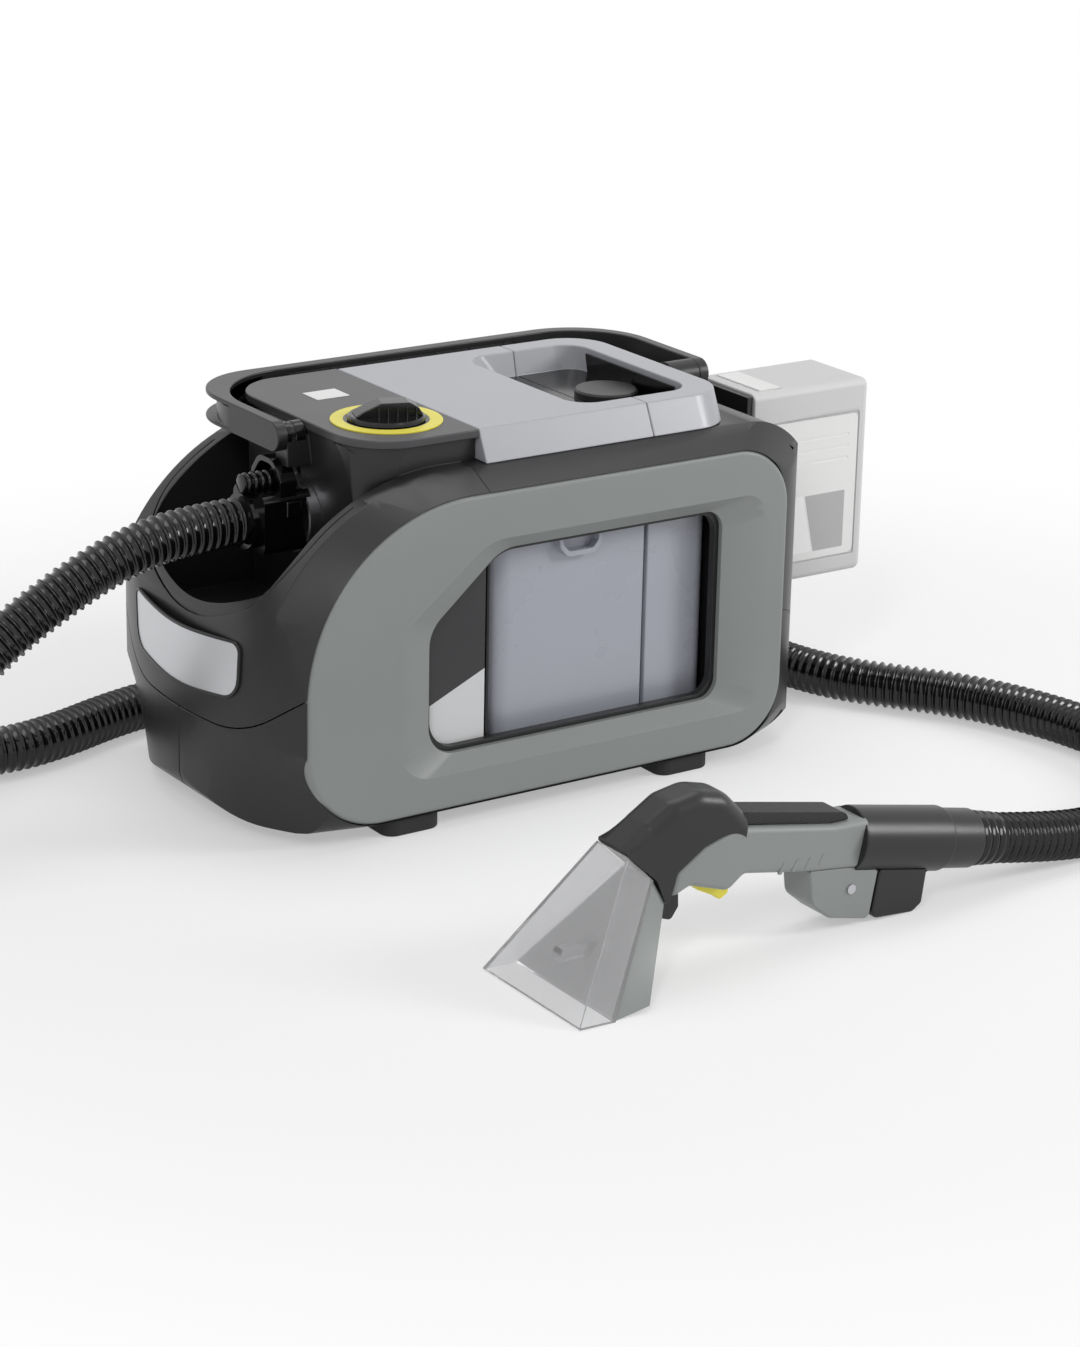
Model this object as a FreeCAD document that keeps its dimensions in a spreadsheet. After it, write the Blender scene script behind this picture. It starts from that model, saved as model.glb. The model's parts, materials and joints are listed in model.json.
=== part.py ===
import FreeCAD, Part
import math
import os
import re

import Sketcher

# A battery spot extractor: a black casing between two grey side frames, a lift-out container
# under grey lids, a folding handle, a battery that slides on at the rear, and a ribbed hose
# that runs round the machine to a hand tool with a clear nozzle.
# X runs to the rear, Y to the far side, Z up. The machine's own zero is on the floor, midway
# between its sides; the datum values move it under the middle of the whole part.

V = FreeCAD.Vector
doc = FreeCAD.newDocument("spot_extractor")

SIZES = {
    # Where the part's zero lies
    "datum_x": -73.7,
    "datum_y": 195.0,
    # Side frames
    "frame_in": 138.0, "frame_out": 156.0, "frame_front": -239.0, "frame_rear": 245.0,
    "frame_low": 16.6, "frame_high": 287.3, "frame_nose_radius": 157.0,
    "frame_tail_radius": 56.0, "frame_heel_radius": 72.0, "frame_edge": 5.0,
    # Window in each side frame: outer lip, inner lip and the slanted front top corner
    "window_front": -152.0, "window_rear": 220.0, "window_low": 48.0, "window_high": 246.0,
    "window_inset_x": 37.0, "window_inset_z": 13.0, "window_depth": 13.0,
    "window_slant_x": 88.0, "window_slant_z": 70.0, "window_radius": 22.0,
    "bezel_lap": 8.0, "bezel_lip": 4.0, "bezel_thick": 8.0, "label_thick": 2.0,
    # Casing
    "casing_front": -273.0, "casing_rear": 290.0, "casing_low": 12.0, "casing_high": 302.0,
    "casing_heel_radius": 24.0, "casing_nose_radius": 186.0, "casing_side": 127.0, "wall": 3.0,
    "bow_radius": 385.0, "bow_low_radius": 220.0, "bow_full_z": 90.0, "rear_corner": 76.0,
    "seam_low": 93.0, "seam_flat": 91.0, "seam_high": 138.0, "hood_rear": -65.0,
    # Trough for the hose, and the column behind it
    "trough_half": 109.0, "trough_floor": 152.0, "trough_corner": 42.0, "rim_thick": 14.0,
    "column_half": 110.0, "column_foot_x": -140.0, "column_top_x": -161.0,
    "column_top": 322.0, "column_rear": -51.0, "column_corner": 46.0,
    # Control panel and dial
    "panel_front": -162.0, "panel_half": 116.0, "panel_thick": 7.5, "panel_corner": 49.0,
    "dial_x": -102.0, "dial_y": -52.0, "dial_radius": 47.5, "dial_inner": 36.0,
    "dial_thick": 1.2, "knob_radius": 33.0, "knob_skirt": 5.0, "knob_grip": 11.0,
    "knob_grip_wide": 20.0, "knob_shaft": 4.0, "knob_gap": 0.4, "switch_size": 36.0,
    "switch_high": 20.0, "board_thick": 1.6,
    # Handle
    "pivot_y": -14.0, "pivot_z": 318.0, "boss_radius": 10.0,
    "arm_thick": 10.0, "arm_high": 26.0, "handle_front": -191.0,
    "handle_rear": 250.0, "handle_far": 146.0, "grip_wide": 13.0, "handle_front_radius": 92.0,
    "handle_rear_radius": 75.0, "flange_radius": 66.0, "flange_thick": 4.0,
    "pin_radius": 4.5, "pivot_gap": 0.4, "post_front": 211.0,
    "grip_pad_front": -88.0, "grip_pad_rear": 146.0, "grip_pad_deep": 2.0, "grip_pitch": 36.5,
    # Container
    "tank_front": -42.0, "tank_split": 121.0, "tank_groove": 4.0, "tank_rear": 188.0,
    "tank_side_gap": 13.0, "tank_half": "=frame_in - bezel_thick - tank_side_gap",
    "tank_low": 24.0, "tank_high": 298.0, "tank_wall": 2.5,
    "tank_front_radius": 24.0, "tank_rear_radius": 14.0, "tank_gap": 4.0, "rest_gap": 0.3,
    "lid_high": 329.5, "lid_half": 114.0, "lid_skirt_half": 127.0, "lid_front": -50.6,
    "lid_split": 119.0, "lid_rear": 209.5, "lid_thick": 3.0, "lid_gap": 0.5, "lid_corner": 40.0,
    "recess_front": 63.0, "recess_rear": 184.0, "recess_half": 92.0, "recess_floor": 307.0,
    "recess_corner": 24.0, "grip_x": 150.0, "grip_y": -10.0, "grip_radius": 28.0,
    "grip_top": 315.0,
    "cage_x": 6.0, "cage_y": 58.0, "cage_radius": 28.0, "cage_low": 215.0, "cage_wall": 2.5,
    "float_gap": 0.8, "float_high": 30.0, "float_rise": 25.0,
    # Suction
    "socket_x": -145.5, "socket_z": 244.5, "socket_radius": 33.0, "duct_radius": 21.0,
    "duct_wall": 2.5, "air_z": 268.0, "air_radius": 13.0, "turbine_x": -112.0,
    "turbine_y": 45.0, "turbine_radius": 52.0, "turbine_low": 86.0, "turbine_high": 128.0,
    "motor_radius": 34.0, "shaft_radius": 4.0, "run_gap": 0.03, "bearing_radius": 11.0,
    "bearing_high": 7.0, "rotor_gap": 2.0, "mount_high": 7.0,
    # Water
    "pump_x": 218.0, "pump_y": -60.0, "pump_radius": 21.0, "pump_high": 52.0,
    "line_radius": 3.5, "line_bend": 12.0, "line_y": 124.0, "line_z": 40.0,
    "spray_y": 0.0, "spray_z": 280.5,
    # Battery and its dock
    "battery_rear": 422.0, "battery_half": 43.0, "battery_low": 114.0, "battery_high": 297.0,
    "battery_gap": 0.4, "battery_edge": 7.0, "rail_y": 25.0, "rail_wide": 8.0,
    "rail_deep": 12.0, "rail_low": 120.0, "rail_high": 285.0, "slide_gap": 0.6,
    "dock_thick": 6.0, "dock_half": 40.0, "dock_low": 104.0, "dock_high": 295.0,
    "button_front": 303.0, "button_rear": 327.0, "button_half": 32.0, "button_high": 8.0,
    "button_proud": 1.0, "button_travel": 4.0, "panel_relief": 0.8,
    # Hose, its connector and its cuff
    "hose_radius": 21.0, "hose_root": 18.6, "hose_bore": 16.0, "rib_pitch": 15.0,
    "connector_front": -212.0, "connector_half": 26.5, "latch_x": -184.0, "cuff_radius": 23.5,
    # Hand tool
    "tool_y": -480.0, "tool_half": 20.0, "nozzle_half": 66.0, "tool_pitch": 11.5,
    "sleeve_x": 60.0, "sleeve_z": 69.0, "sleeve_radius": 26.5, "sleeve_long": 99.0,
    "cuff_long": 58.0, "trigger_half": 8.0, "trigger_gap": 0.5, "nozzle_wall": 2.5,
}

sheet = doc.addObject("Spreadsheet::Sheet", "sizes")
for row, (alias, number) in enumerate(SIZES.items(), start=1):
    sheet.set(f"A{row}", alias)
    sheet.set(f"B{row}", str(number))
    sheet.setAlias(f"B{row}", alias)
doc.recompute()

NODES = []
PLACES = {}


def size(alias):
    """One driving dimension, read back from the sheet."""
    return float(sheet.get(alias))


def bind(item, prop, formula):
    """Tie a property to a formula of names in the sheet."""
    text = re.sub(r"[a-z_]+", lambda w: "sizes." + w.group(0) if w.group(0) in SIZES else w.group(0),
                  str(formula))
    item.setExpression(prop, text)


def place(item, formulas):
    """Put an object at a point given by three formulas."""
    PLACES[item.Name] = formulas
    for axis, formula in zip("xyz", formulas):
        bind(item, f"Placement.Base.{axis}", formula)
    return item


def node(label, item):
    """Make an object a sub-part under its own name, moved to the part's datum."""
    x, y, z = PLACES.get(item.Name, ("0", "0", "0"))
    place(item, (f"({x}) + datum_x", f"({y}) + datum_y", z))
    item.Label = label
    NODES.append(item)
    return item


def form(label, shape):
    """Make a sub-part from a shape whose sizes were read from the sheet."""
    item = doc.addObject("Part::Feature", label)
    item.Shape = shape
    datum = FreeCAD.Placement(V(size("datum_x"), size("datum_y"), 0), FreeCAD.Rotation())
    item.Placement = datum.multiply(shape.Placement)
    item.Label = label
    NODES.append(item)
    return item


# Primitives and booleans of the document

def box(name, xs, ys, zs):
    """A box between two formulas along each axis."""
    item = doc.addObject("Part::Box", name)
    for prop, (low, high) in zip(("Length", "Width", "Height"), (xs, ys, zs)):
        bind(item, prop, f"({high}) - ({low})")
    return place(item, (xs[0], ys[0], zs[0]))


TURNS = {"x": FreeCAD.Rotation(V(0, 1, 0), 90), "y": FreeCAD.Rotation(V(1, 0, 0), -90),
         "z": FreeCAD.Rotation()}


def rod(name, axis, start, radius, length):
    """A cylinder from a point along +X, +Y or +Z."""
    item = doc.addObject("Part::Cylinder", name)
    item.Placement = FreeCAD.Placement(V(), TURNS[axis])
    bind(item, "Radius", radius)
    bind(item, "Height", length)
    return place(item, start)


def fuse(name, *items):
    item = doc.addObject("Part::MultiFuse", name)
    item.Shapes = list(items)
    return item


def cut(name, base, *tools):
    item = doc.addObject("Part::Cut", name)
    item.Base = base
    item.Tool = tools[0] if len(tools) == 1 else fuse(name + "_tools", *tools)
    return item


def group(name, *items):
    item = doc.addObject("Part::Compound", name)
    item.Links = list(items)
    return item


def tube(name, axis, start, outer, inner, length):
    """A hollow cylinder."""
    return cut(name, rod(name + "_outer", axis, start, outer, length),
               rod(name + "_bore", axis, start, inner, length))


# Bodies with sketches

def plane_of(body, role):
    return [item for item in body.Origin.OriginFeatures if item.Role == role][0]


def sketch(body, name, role, level):
    """A sketch on one of the body's own planes, moved along the plane's normal."""
    item = body.newObject("Sketcher::SketchObject", name)
    item.AttachmentSupport = [(plane_of(body, role), "")]
    item.MapMode = "FlatFace"
    bind(item, "AttachmentOffset.Base.z", level)
    return item


def pin_point(item, index, end, u, v, guess):
    """Hold a point of a sketch at two formulas."""
    for kind, formula, number in (("DistanceX", u, guess[0]), ("DistanceY", v, guess[1])):
        at = item.addConstraint(Sketcher.Constraint(kind, -1, 1, index, end, number))
        bind(item, f"Constraints[{at}]", formula)


def worth(formula):
    names = {alias: size(alias) for alias in SIZES}
    text = re.sub(r"[a-z_]+", lambda w: repr(names[w.group(0)]) if w.group(0) in names else w.group(0),
                  str(formula))
    return sum_of(text)


def sum_of(text):
    """The number that a formula of the sheet gives."""
    sheet.set("D1", "=" + text)
    sheet.recompute()
    return float(sheet.get("D1"))


def rectangle(item, us, vs):
    """A constrained rectangle between two formulas each way."""
    low = (worth(us[0]), worth(vs[0]))
    high = (worth(us[1]), worth(vs[1]))
    spots = [V(low[0], low[1], 0), V(high[0], low[1], 0), V(high[0], high[1], 0), V(low[0], high[1], 0)]
    first = len(item.Geometry)
    for here, there in zip(spots, spots[1:] + spots[:1]):
        item.addGeometry(Part.LineSegment(here, there), False)
    for step in range(4):
        item.addConstraint(Sketcher.Constraint("Coincident", first + step, 2, first + (step + 1) % 4, 1))
        way = "Horizontal" if step % 2 == 0 else "Vertical"
        item.addConstraint(Sketcher.Constraint(way, first + step))
    pin_point(item, first, 1, us[0], vs[0], low)
    pin_point(item, first + 1, 2, us[1], vs[1], high)


def ring(item, u, v, radius):
    """A constrained circle."""
    spot = (worth(u), worth(v))
    index = item.addGeometry(Part.Circle(V(spot[0], spot[1], 0), V(0, 0, 1), worth(radius)), False)
    pin_point(item, index, 3, u, v, spot)
    at = item.addConstraint(Sketcher.Constraint("Radius", index, worth(radius)))
    bind(item, f"Constraints[{at}]", radius)


def feature(body, kind, name, profile, length, reverse=False):
    """A Pad or a Pocket of a sketch."""
    item = body.newObject(kind, name)
    item.Profile = profile
    item.Reversed = reverse
    bind(item, "Length", length)
    doc.recompute()
    return item


def round_edges(body, name, base, pick, radius):
    """A fillet on the edges that a test picks."""
    names = [f"Edge{n}" for n, edge in enumerate(base.Shape.Edges, start=1) if pick(edge)]
    item = body.newObject("PartDesign::Fillet", name)
    item.Base = (base, names)
    bind(item, "Radius", radius)
    doc.recompute()
    return item


def upright(edge):
    ends = [v.Point for v in edge.Vertexes]
    return len(ends) == 2 and (ends[0] - ends[1]).cross(V(0, 0, 1)).Length < 0.01


# Shapes from Part's own functions

def spot(plane, level, u, v):
    return {"xy": V(u, v, level), "xz": V(u, level, v), "yz": V(level, u, v)}[plane]


def outline(plane, level, corners):
    """A closed wire of straight sides with rounded corners, each corner (u, v, radius)."""
    edges, ends = [], []
    count = len(corners)
    for n, (u, v, radius) in enumerate(corners):
        here = V(u, v, 0)
        back = (V(*corners[n - 1][:2], 0) - here).normalize()
        ahead = (V(*corners[(n + 1) % count][:2], 0) - here).normalize()
        if radius <= 0:
            ends.append((here, None, here))
            continue
        half = back.getAngle(ahead) / 2
        reach = radius / math.tan(half)
        middle = (back + ahead).normalize()
        top = here + middle * (radius / math.sin(half) - radius)
        ends.append((here + back * reach, top, here + ahead * reach))
    for n, (start, top, finish) in enumerate(ends):
        a, b = spot(plane, level, start.x, start.y), spot(plane, level, finish.x, finish.y)
        if top is not None:
            edges.append(Part.Arc(a, spot(plane, level, top.x, top.y), b).toShape())
        following = ends[(n + 1) % count][0]
        c = spot(plane, level, following.x, following.y)
        if (c - b).Length > 1e-6:
            edges.append(Part.LineSegment(b, c).toShape())
    return Part.Wire(edges)


NORMALS = {"xy": V(0, 0, 1), "xz": V(0, 1, 0), "yz": V(1, 0, 0)}


def prism(plane, low, high, corners):
    """An outline pushed from one level to another."""
    return Part.Face(outline(plane, low, corners)).extrude(NORMALS[plane] * (high - low))


def taper(plane, low, corners_low, high, corners_high):
    """A straight-sided solid between two outlines of the same make."""
    wires = [outline(plane, low, corners_low), outline(plane, high, corners_high)]
    return Part.makeLoft(wires, True, True)


def block(x0, x1, y0, y1, z0, z1):
    return Part.makeBox(x1 - x0, y1 - y0, z1 - z0, V(x0, y0, z0))


def can(axis, x, y, z, radius, length):
    direction = {"x": V(1, 0, 0), "y": V(0, 1, 0), "z": V(0, 0, 1)}[axis]
    return Part.makeCylinder(radius, length, V(x, y, z), direction)


def softened(shape, radius, pick):
    """Round the edges that a test picks."""
    edges = [edge for edge in shape.Edges if pick(edge)]
    return shape.makeFillet(radius, edges)


def rect(x0, x1, y0, y1, radius=0.0):
    return [(x0, y0, radius), (x1, y0, radius), (x1, y1, radius), (x0, y1, radius)]


# Outlines that several pieces share

def frame_outline(inset=0.0):
    tail = size("frame_tail_radius") - inset
    return [(size("frame_front") + inset, size("frame_low") + inset, size("frame_heel_radius") - inset),
            (size("frame_rear") - inset, size("frame_low") + inset, tail),
            (size("frame_rear") - inset, size("frame_high") - inset, tail),
            (size("frame_front") + inset, size("frame_high") - inset, size("frame_nose_radius") - inset)]


def casing_outline():
    rise = size("casing_high") - size("frame_high")
    tail = size("frame_tail_radius")
    return [(size("casing_front"), size("casing_low"), size("casing_heel_radius")),
            (size("casing_rear"), size("casing_low"), tail),
            (size("casing_rear"), size("casing_high"), tail + rise),
            (size("casing_front"), size("casing_high"), size("casing_nose_radius"))]


def window_outline(shrink_x, shrink_z):
    """The window's lip, drawn in by the given amounts, with its slanted corner in proportion."""
    long = size("window_rear") - size("window_front")
    tall = size("window_high") - size("window_low")
    x0, x1 = size("window_front") + shrink_x, size("window_rear") - shrink_x
    z0, z1 = size("window_low") + shrink_z, size("window_high") - shrink_z
    share_x, share_z = (x1 - x0) / long, (z1 - z0) / tall
    corner = size("window_radius") * min(share_x, share_z)
    return [(x0, z0, corner * 1.5), (x1, z0, corner), (x1, z1, corner),
            (x0 + size("window_slant_x") * share_x, z1, corner * 2.2),
            (x0, z1 - size("window_slant_z") * share_z, corner * 1.8)]


def plan(level_low, level_high, inset):
    """The casing seen from above: a bowed front, straight sides and rounded rear corners."""
    half = size("frame_out") + 1 - inset
    rear = size("casing_rear") - inset
    corner = size("rear_corner") - inset
    diagonal = corner * math.sqrt(0.5)

    def wire(level, bow):
        front = size("casing_front") + inset
        side = front + bow - math.sqrt(bow * bow - half * half)
        arc = Part.Arc(V(side, half, level), V(front, 0, level), V(side, -half, level))
        cx, cy = rear - corner, half - corner
        near = Part.Arc(V(cx, -half, level), V(cx + diagonal, -cy - diagonal, level), V(rear, -cy, level))
        far = Part.Arc(V(rear, cy, level), V(cx + diagonal, cy + diagonal, level), V(cx, half, level))
        parts = [arc, Part.LineSegment(V(side, -half, level), V(cx, -half, level)), near,
                 Part.LineSegment(V(rear, -cy, level), V(rear, cy, level)), far,
                 Part.LineSegment(V(cx, half, level), V(side, half, level))]
        return Part.Wire([piece.toShape() for piece in parts])

    full = size("bow_full_z")
    low_bow, bow = size("bow_low_radius") - inset, size("bow_radius") - inset
    lower = Part.makeLoft([wire(level_low, low_bow), wire(full, bow)], True, True)
    upper = Part.Face(wire(full, bow)).extrude(V(0, 0, level_high - full))
    return lower.fuse(upper).removeSplitter()


def both_sides(make):
    """The same piece on the near and the far side, as two solids."""
    return make(-1), make(1)


def side_prism(sign, inner, outer, corners):
    low, high = sorted((sign * inner, sign * outer))
    return prism("xz", low, high, corners)


def casing_outer():
    side, out = size("casing_side"), size("frame_out")
    core = prism("xz", -side, side, casing_outline())
    flanks = [taper("xz", sign * side, casing_outline(), sign * out, frame_outline()) for sign in (-1, 1)]
    whole = core.fuse(flanks)
    frames = [side_prism(sign, size("frame_in"), out + 1, frame_outline()) for sign in (-1, 1)]
    return whole.cut(frames).common(plan(size("casing_low") - 5, size("lid_high"), 0.0))


def casing_inner():
    wall = size("wall")
    side, deep = size("frame_in") - wall, size("casing_side") - wall
    x0, x1 = size("casing_front") + wall, size("casing_rear") - wall
    low, heel = size("casing_low") + wall, size("casing_heel_radius") - wall
    tail = size("frame_tail_radius") - wall
    nose, drop = size("casing_nose_radius") - wall, size("casing_high") - size("frame_high")

    def body(half, high, bend):
        corners = [(x0, low, heel), (x1, low, tail), (x1, high, tail), (x0, high, bend)]
        return prism("xz", -half, half, corners)

    inside = body(side, size("frame_high") - wall, nose + drop).fuse(
        body(deep, size("casing_high") - wall, nose))
    return inside.common(plan(size("casing_low") - 5, size("lid_high"), wall))


def below_seam():
    """All that lies under the line where hood and deck meet the base."""
    high, low, flat = size("seam_high"), size("seam_low"), size("seam_flat")
    far = size("frame_out") + 10
    side = size("frame_out")
    corners = [(-far, 0, 0), (far, 0, 0), (far, high, 0), (side, high, 0),
               (flat, low, 120), (-flat, low, 120), (-side, high, 0), (-far, high, 0)]
    return prism("yz", size("casing_front") - 10, size("casing_rear") + 10, corners)


def column(inset):
    top, half = size("column_top") - inset, size("column_half") - inset
    foot, head = size("column_foot_x") + inset, size("column_top_x") + inset
    rear = size("column_rear") - inset
    side = [(foot, size("trough_floor") - 40, 0), (rear, size("trough_floor") - 40, 0),
            (rear, top, 0), (head, top, 0), (foot, size("trough_floor"), 0)]
    corner = size("column_corner") - inset
    seen_from_above = [(head, -half, corner), (rear, -half, 0), (rear, half, 0), (head, half, corner)]
    return prism("xz", -half, half, side).common(prism("xy", 90, top, seen_from_above))


def trough(grow):
    """The basin behind the front lip, which follows the casing's bow and opens upwards."""
    half, low = size("trough_half") + grow, size("trough_floor") - grow
    lip = size("rim_thick") - grow
    front, rear, bow = size("casing_front"), size("column_rear"), size("bow_radius")
    corner = size("trough_corner") + grow
    roof = size("lid_high") + 20
    basin = prism("xy", low, roof, [(front + lip, -half, corner), (rear, -half, 0),
                                    (rear, half, 0), (front + lip, half, corner)])
    return basin.common(Part.makeCylinder(bow - lip, roof - low, V(front + bow, 0, low)))


OUTER = casing_outer()
INNER = casing_inner()
SEAM = below_seam()
TANK_OPENING = block(size("tank_front") - size("tank_gap"), size("tank_rear") + size("tank_gap"),
                     -size("tank_half") - size("tank_gap"), size("tank_half") + size("tank_gap"),
                     size("tank_high") - 20, size("lid_high"))
BEZEL_OUTLINE = window_outline(size("window_inset_x") - size("bezel_lap"),
                               size("window_inset_z") - size("bezel_lap"))
BEZEL_BACK = size("frame_in") - size("bezel_thick")
WINDOW_SLOTS = [side_prism(sign, BEZEL_BACK, size("frame_in") + 1, BEZEL_OUTLINE) for sign in (-1, 1)]


# Casing

def side_frame(sign):
    body = side_prism(sign, size("frame_in"), size("frame_out"), frame_outline())
    face = sign * size("frame_out")
    body = softened(body, size("frame_edge"),
                    lambda edge: all(abs(v.Y - face) < 0.01 for v in edge.Vertexes))
    bottom = sign * (size("frame_out") - size("window_depth"))
    lip, lap = window_outline(0, 0), window_outline(size("window_inset_x"), size("window_inset_z"))
    bevel = taper("xz", bottom, lap, face, lip)
    hole = side_prism(sign, size("frame_in") - 1, size("frame_out"), lap)
    return body.cut([bevel, hole])


form("near_side_frame", side_frame(-1))
form("far_side_frame", side_frame(1))


def window_bezel(sign):
    lip = window_outline(size("window_inset_x") + size("bezel_lip"),
                         size("window_inset_z") + size("bezel_lip"))
    ring_body = side_prism(sign, BEZEL_BACK, size("frame_in"), BEZEL_OUTLINE)
    return ring_body.cut(side_prism(sign, BEZEL_BACK - 1, size("frame_in") + 1, lip))


form("window_bezels", Part.makeCompound(list(both_sides(window_bezel))))


def label_plate(sign):
    lip = window_outline(size("window_inset_x") + size("bezel_lip"),
                         size("window_inset_z") + size("bezel_lip"))
    plate = side_prism(sign, BEZEL_BACK, BEZEL_BACK + size("label_thick"), lip)
    return plate.common(block(-300, size("tank_front") - 11, -200, 200, 0, 300))


form("side_label_plates", Part.makeCompound(list(both_sides(label_plate))))


def base_tub():
    wall = size("wall")
    shell = OUTER.common(SEAM).cut(INNER).cut(WINDOW_SLOTS)
    half = BEZEL_BACK - 0.5
    walls = []
    for x in (size("tank_front") - size("tank_gap") - wall - 1, size("tank_rear") + size("tank_gap") + 1):
        walls.append(block(x, x + wall, -half, half, size("casing_low"), size("casing_high")).common(INNER))
    ribs = [block(size("tank_front") + 20, size("tank_rear") - 20, y - 4, y + 4,
                  size("casing_low") + wall, size("tank_low") - size("rest_gap")) for y in (-70, 70)]
    mount_x, mount_y, floor = size("turbine_x"), size("turbine_y"), size("casing_low") + wall
    mount = can("z", mount_x, mount_y, floor, size("motor_radius") + 6, size("mount_high")).cut(
        can("z", mount_x, mount_y, floor - 1, size("motor_radius") - 10, size("mount_high") + 2))
    tub = shell.fuse(walls + ribs + [mount])
    line = can("x", size("tank_front") - 20, -LINE_Y, LINE_Z, size("line_radius"), 300)
    suction = can("x", size("tank_front") - 20, 0, size("socket_z"), size("duct_radius"), 18)
    air = can("x", size("tank_front") - 20, size("turbine_y"), size("air_z"), size("air_radius"), 18)
    grille = [block(x, x + 5, size("turbine_y") - 18, size("turbine_y") + 18, 0, 30)
              for x in (-211, -201, -191)]
    return tub.cut([line, suction, air] + grille)


LINE_Y, LINE_Z = size("line_y"), size("line_z")
form("base_tub", base_tub())


def front_hood():
    wall = size("wall")
    rear, split = size("column_rear"), size("hood_rear")
    half, high = size("column_half"), size("column_top")
    region = block(-400, split, -200, 200, 0, 400).fuse(
        block(split, rear, -half, half, size("tank_high") - 13, high))
    solid = OUTER.fuse(column(0)).common(region).cut(SEAM).cut(trough(0).cut(column(0)))
    hollow = INNER.cut(trough(wall)).fuse(column(wall))
    hood = solid.cut(hollow)
    boss_front = size("handle_front") + size("arm_thick") + size("pivot_gap")
    boss_end = size("panel_front") - size("pivot_gap")
    side, pivot, radius = size("pivot_y"), size("pivot_z"), size("boss_radius")
    boss = can("x", boss_front, side, pivot, radius, boss_end - boss_front).fuse(
        block(boss_front, size("column_top_x") + 6, side - radius, side + radius, pivot - 26,
              pivot)).cut(hollow)
    hood = hood.fuse(boss).cut(WINDOW_SLOTS)
    cuts = [can("x", -200, 0, size("socket_z"), size("duct_radius"), 80),
            can("x", -185, SPRAY_Y, SPRAY_Z, size("line_radius"), 60),
            can("z", size("dial_x"), size("dial_y"), 300, size("knob_shaft") + size("knob_gap"), 40),
            can("y", size("turbine_x") + 37, -size("column_half") - 5, SPRAY_Z, size("line_radius"), 12),
            can("x", boss_front, side, pivot, size("pin_radius"), boss_end - boss_front)]
    socket_z, face = size("socket_z"), size("column_top_x") + 2
    socket = can("x", face, 0, socket_z, size("socket_radius"), 30).cut(
        [can("x", face - 1, 0, socket_z, size("connector_half") + 1, 40),
         can("x", face - 1, SPRAY_Y, SPRAY_Z, 8, 40), column(0)])
    return hood.cut(cuts).fuse(socket)


SPRAY_Y, SPRAY_Z = size("spray_y"), size("spray_z")
form("front_hood", front_hood())


def rear_deck():
    split, rear = size("hood_rear"), size("column_rear")
    half = size("column_half")
    solid = OUTER.cut(SEAM).common(block(split, 400, -200, 200, 0, 400)).cut(INNER)
    solid = solid.cut([block(split - 1, rear, -half, half, size("tank_high") - 13, 400), TANK_OPENING])
    solid = solid.cut(WINDOW_SLOTS)
    dock = block(size("casing_rear") - 20, size("casing_rear") + 5, -size("dock_half"), size("dock_half"),
                 size("dock_low"), size("dock_high"))
    side, pivot, radius = size("pivot_y"), size("pivot_z"), size("arm_high") / 2
    back = size("handle_rear") - size("arm_thick") - size("pivot_gap")
    post = block(size("post_front"), back, side - radius, side + radius, size("casing_high"),
                 pivot).fuse(can("x", size("post_front"), side, pivot, radius,
                                 back - size("post_front")))
    pin = can("x", back - 12, side, pivot, size("pin_radius"), 20)
    return solid.cut(dock).fuse(post).cut(pin)


form("rear_deck", rear_deck())


def foot(x0, x1, sign):
    inner, outer = size("casing_side") - 18, size("frame_out") - 5
    y0, y1 = sorted((sign * inner, sign * outer))
    pad = prism("xy", 0, size("casing_low") + 8, rect(x0, x1, y0, y1, 12))
    frames = side_prism(sign, size("frame_in"), size("frame_out"), frame_outline())
    return pad.cut([OUTER, frames, INNER])


form("feet", Part.makeCompound([foot(x0, x1, sign) for x0, x1 in ((-160, -105), (119, 174))
                                for sign in (-1, 1)]))


def nameplate():
    """A bare plate that follows the bow of the hood's front."""
    thick = 1.6
    front, bow = size("casing_front"), size("bow_radius")
    corners = [(-91, 173, 9), (-87.5, 121.5, 22), (0, 112.5, 300), (87.5, 121.5, 22), (91, 173, 9),
               (0, 166.5, 400)]
    patch = prism("yz", front - 10, front + 30, corners)
    outer = Part.makeCylinder(bow + thick, 120, V(front + bow, 0, 80))
    inner = Part.makeCylinder(bow, 120, V(front + bow, 0, 80))
    return patch.common(outer.cut(inner))


form("nameplate", nameplate())

# Control panel: a thin plate with a hole for the knob's shaft and a notch for the handle's boss
panel = doc.addObject("PartDesign::Body", "control_panel")
panel_sketch = sketch(panel, "panel_plan", "XY_Plane", "column_top")
rectangle(panel_sketch, ("panel_front", "column_rear"), ("-panel_half", "panel_half"))
panel_pad = feature(panel, "PartDesign::Pad", "panel_pad", panel_sketch, "panel_thick")
panel_front_edges = round_edges(
    panel, "panel_corners", panel_pad,
    lambda edge: upright(edge) and edge.CenterOfMass.x < size("panel_front") + 1, "panel_corner")
panel_hole = sketch(panel, "panel_hole", "XY_Plane", "column_top")
ring(panel_hole, "dial_x", "dial_y", "knob_shaft + knob_gap")
panel_bore = feature(panel, "PartDesign::Pocket", "panel_bore", panel_hole, "panel_thick", True)
node("control_panel", panel)

panel_top = "column_top + panel_thick"
node("dial_ring", tube("dial_ring", "z", ("dial_x", "dial_y", panel_top), "dial_radius", "dial_inner",
                       "dial_thick"))

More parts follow.
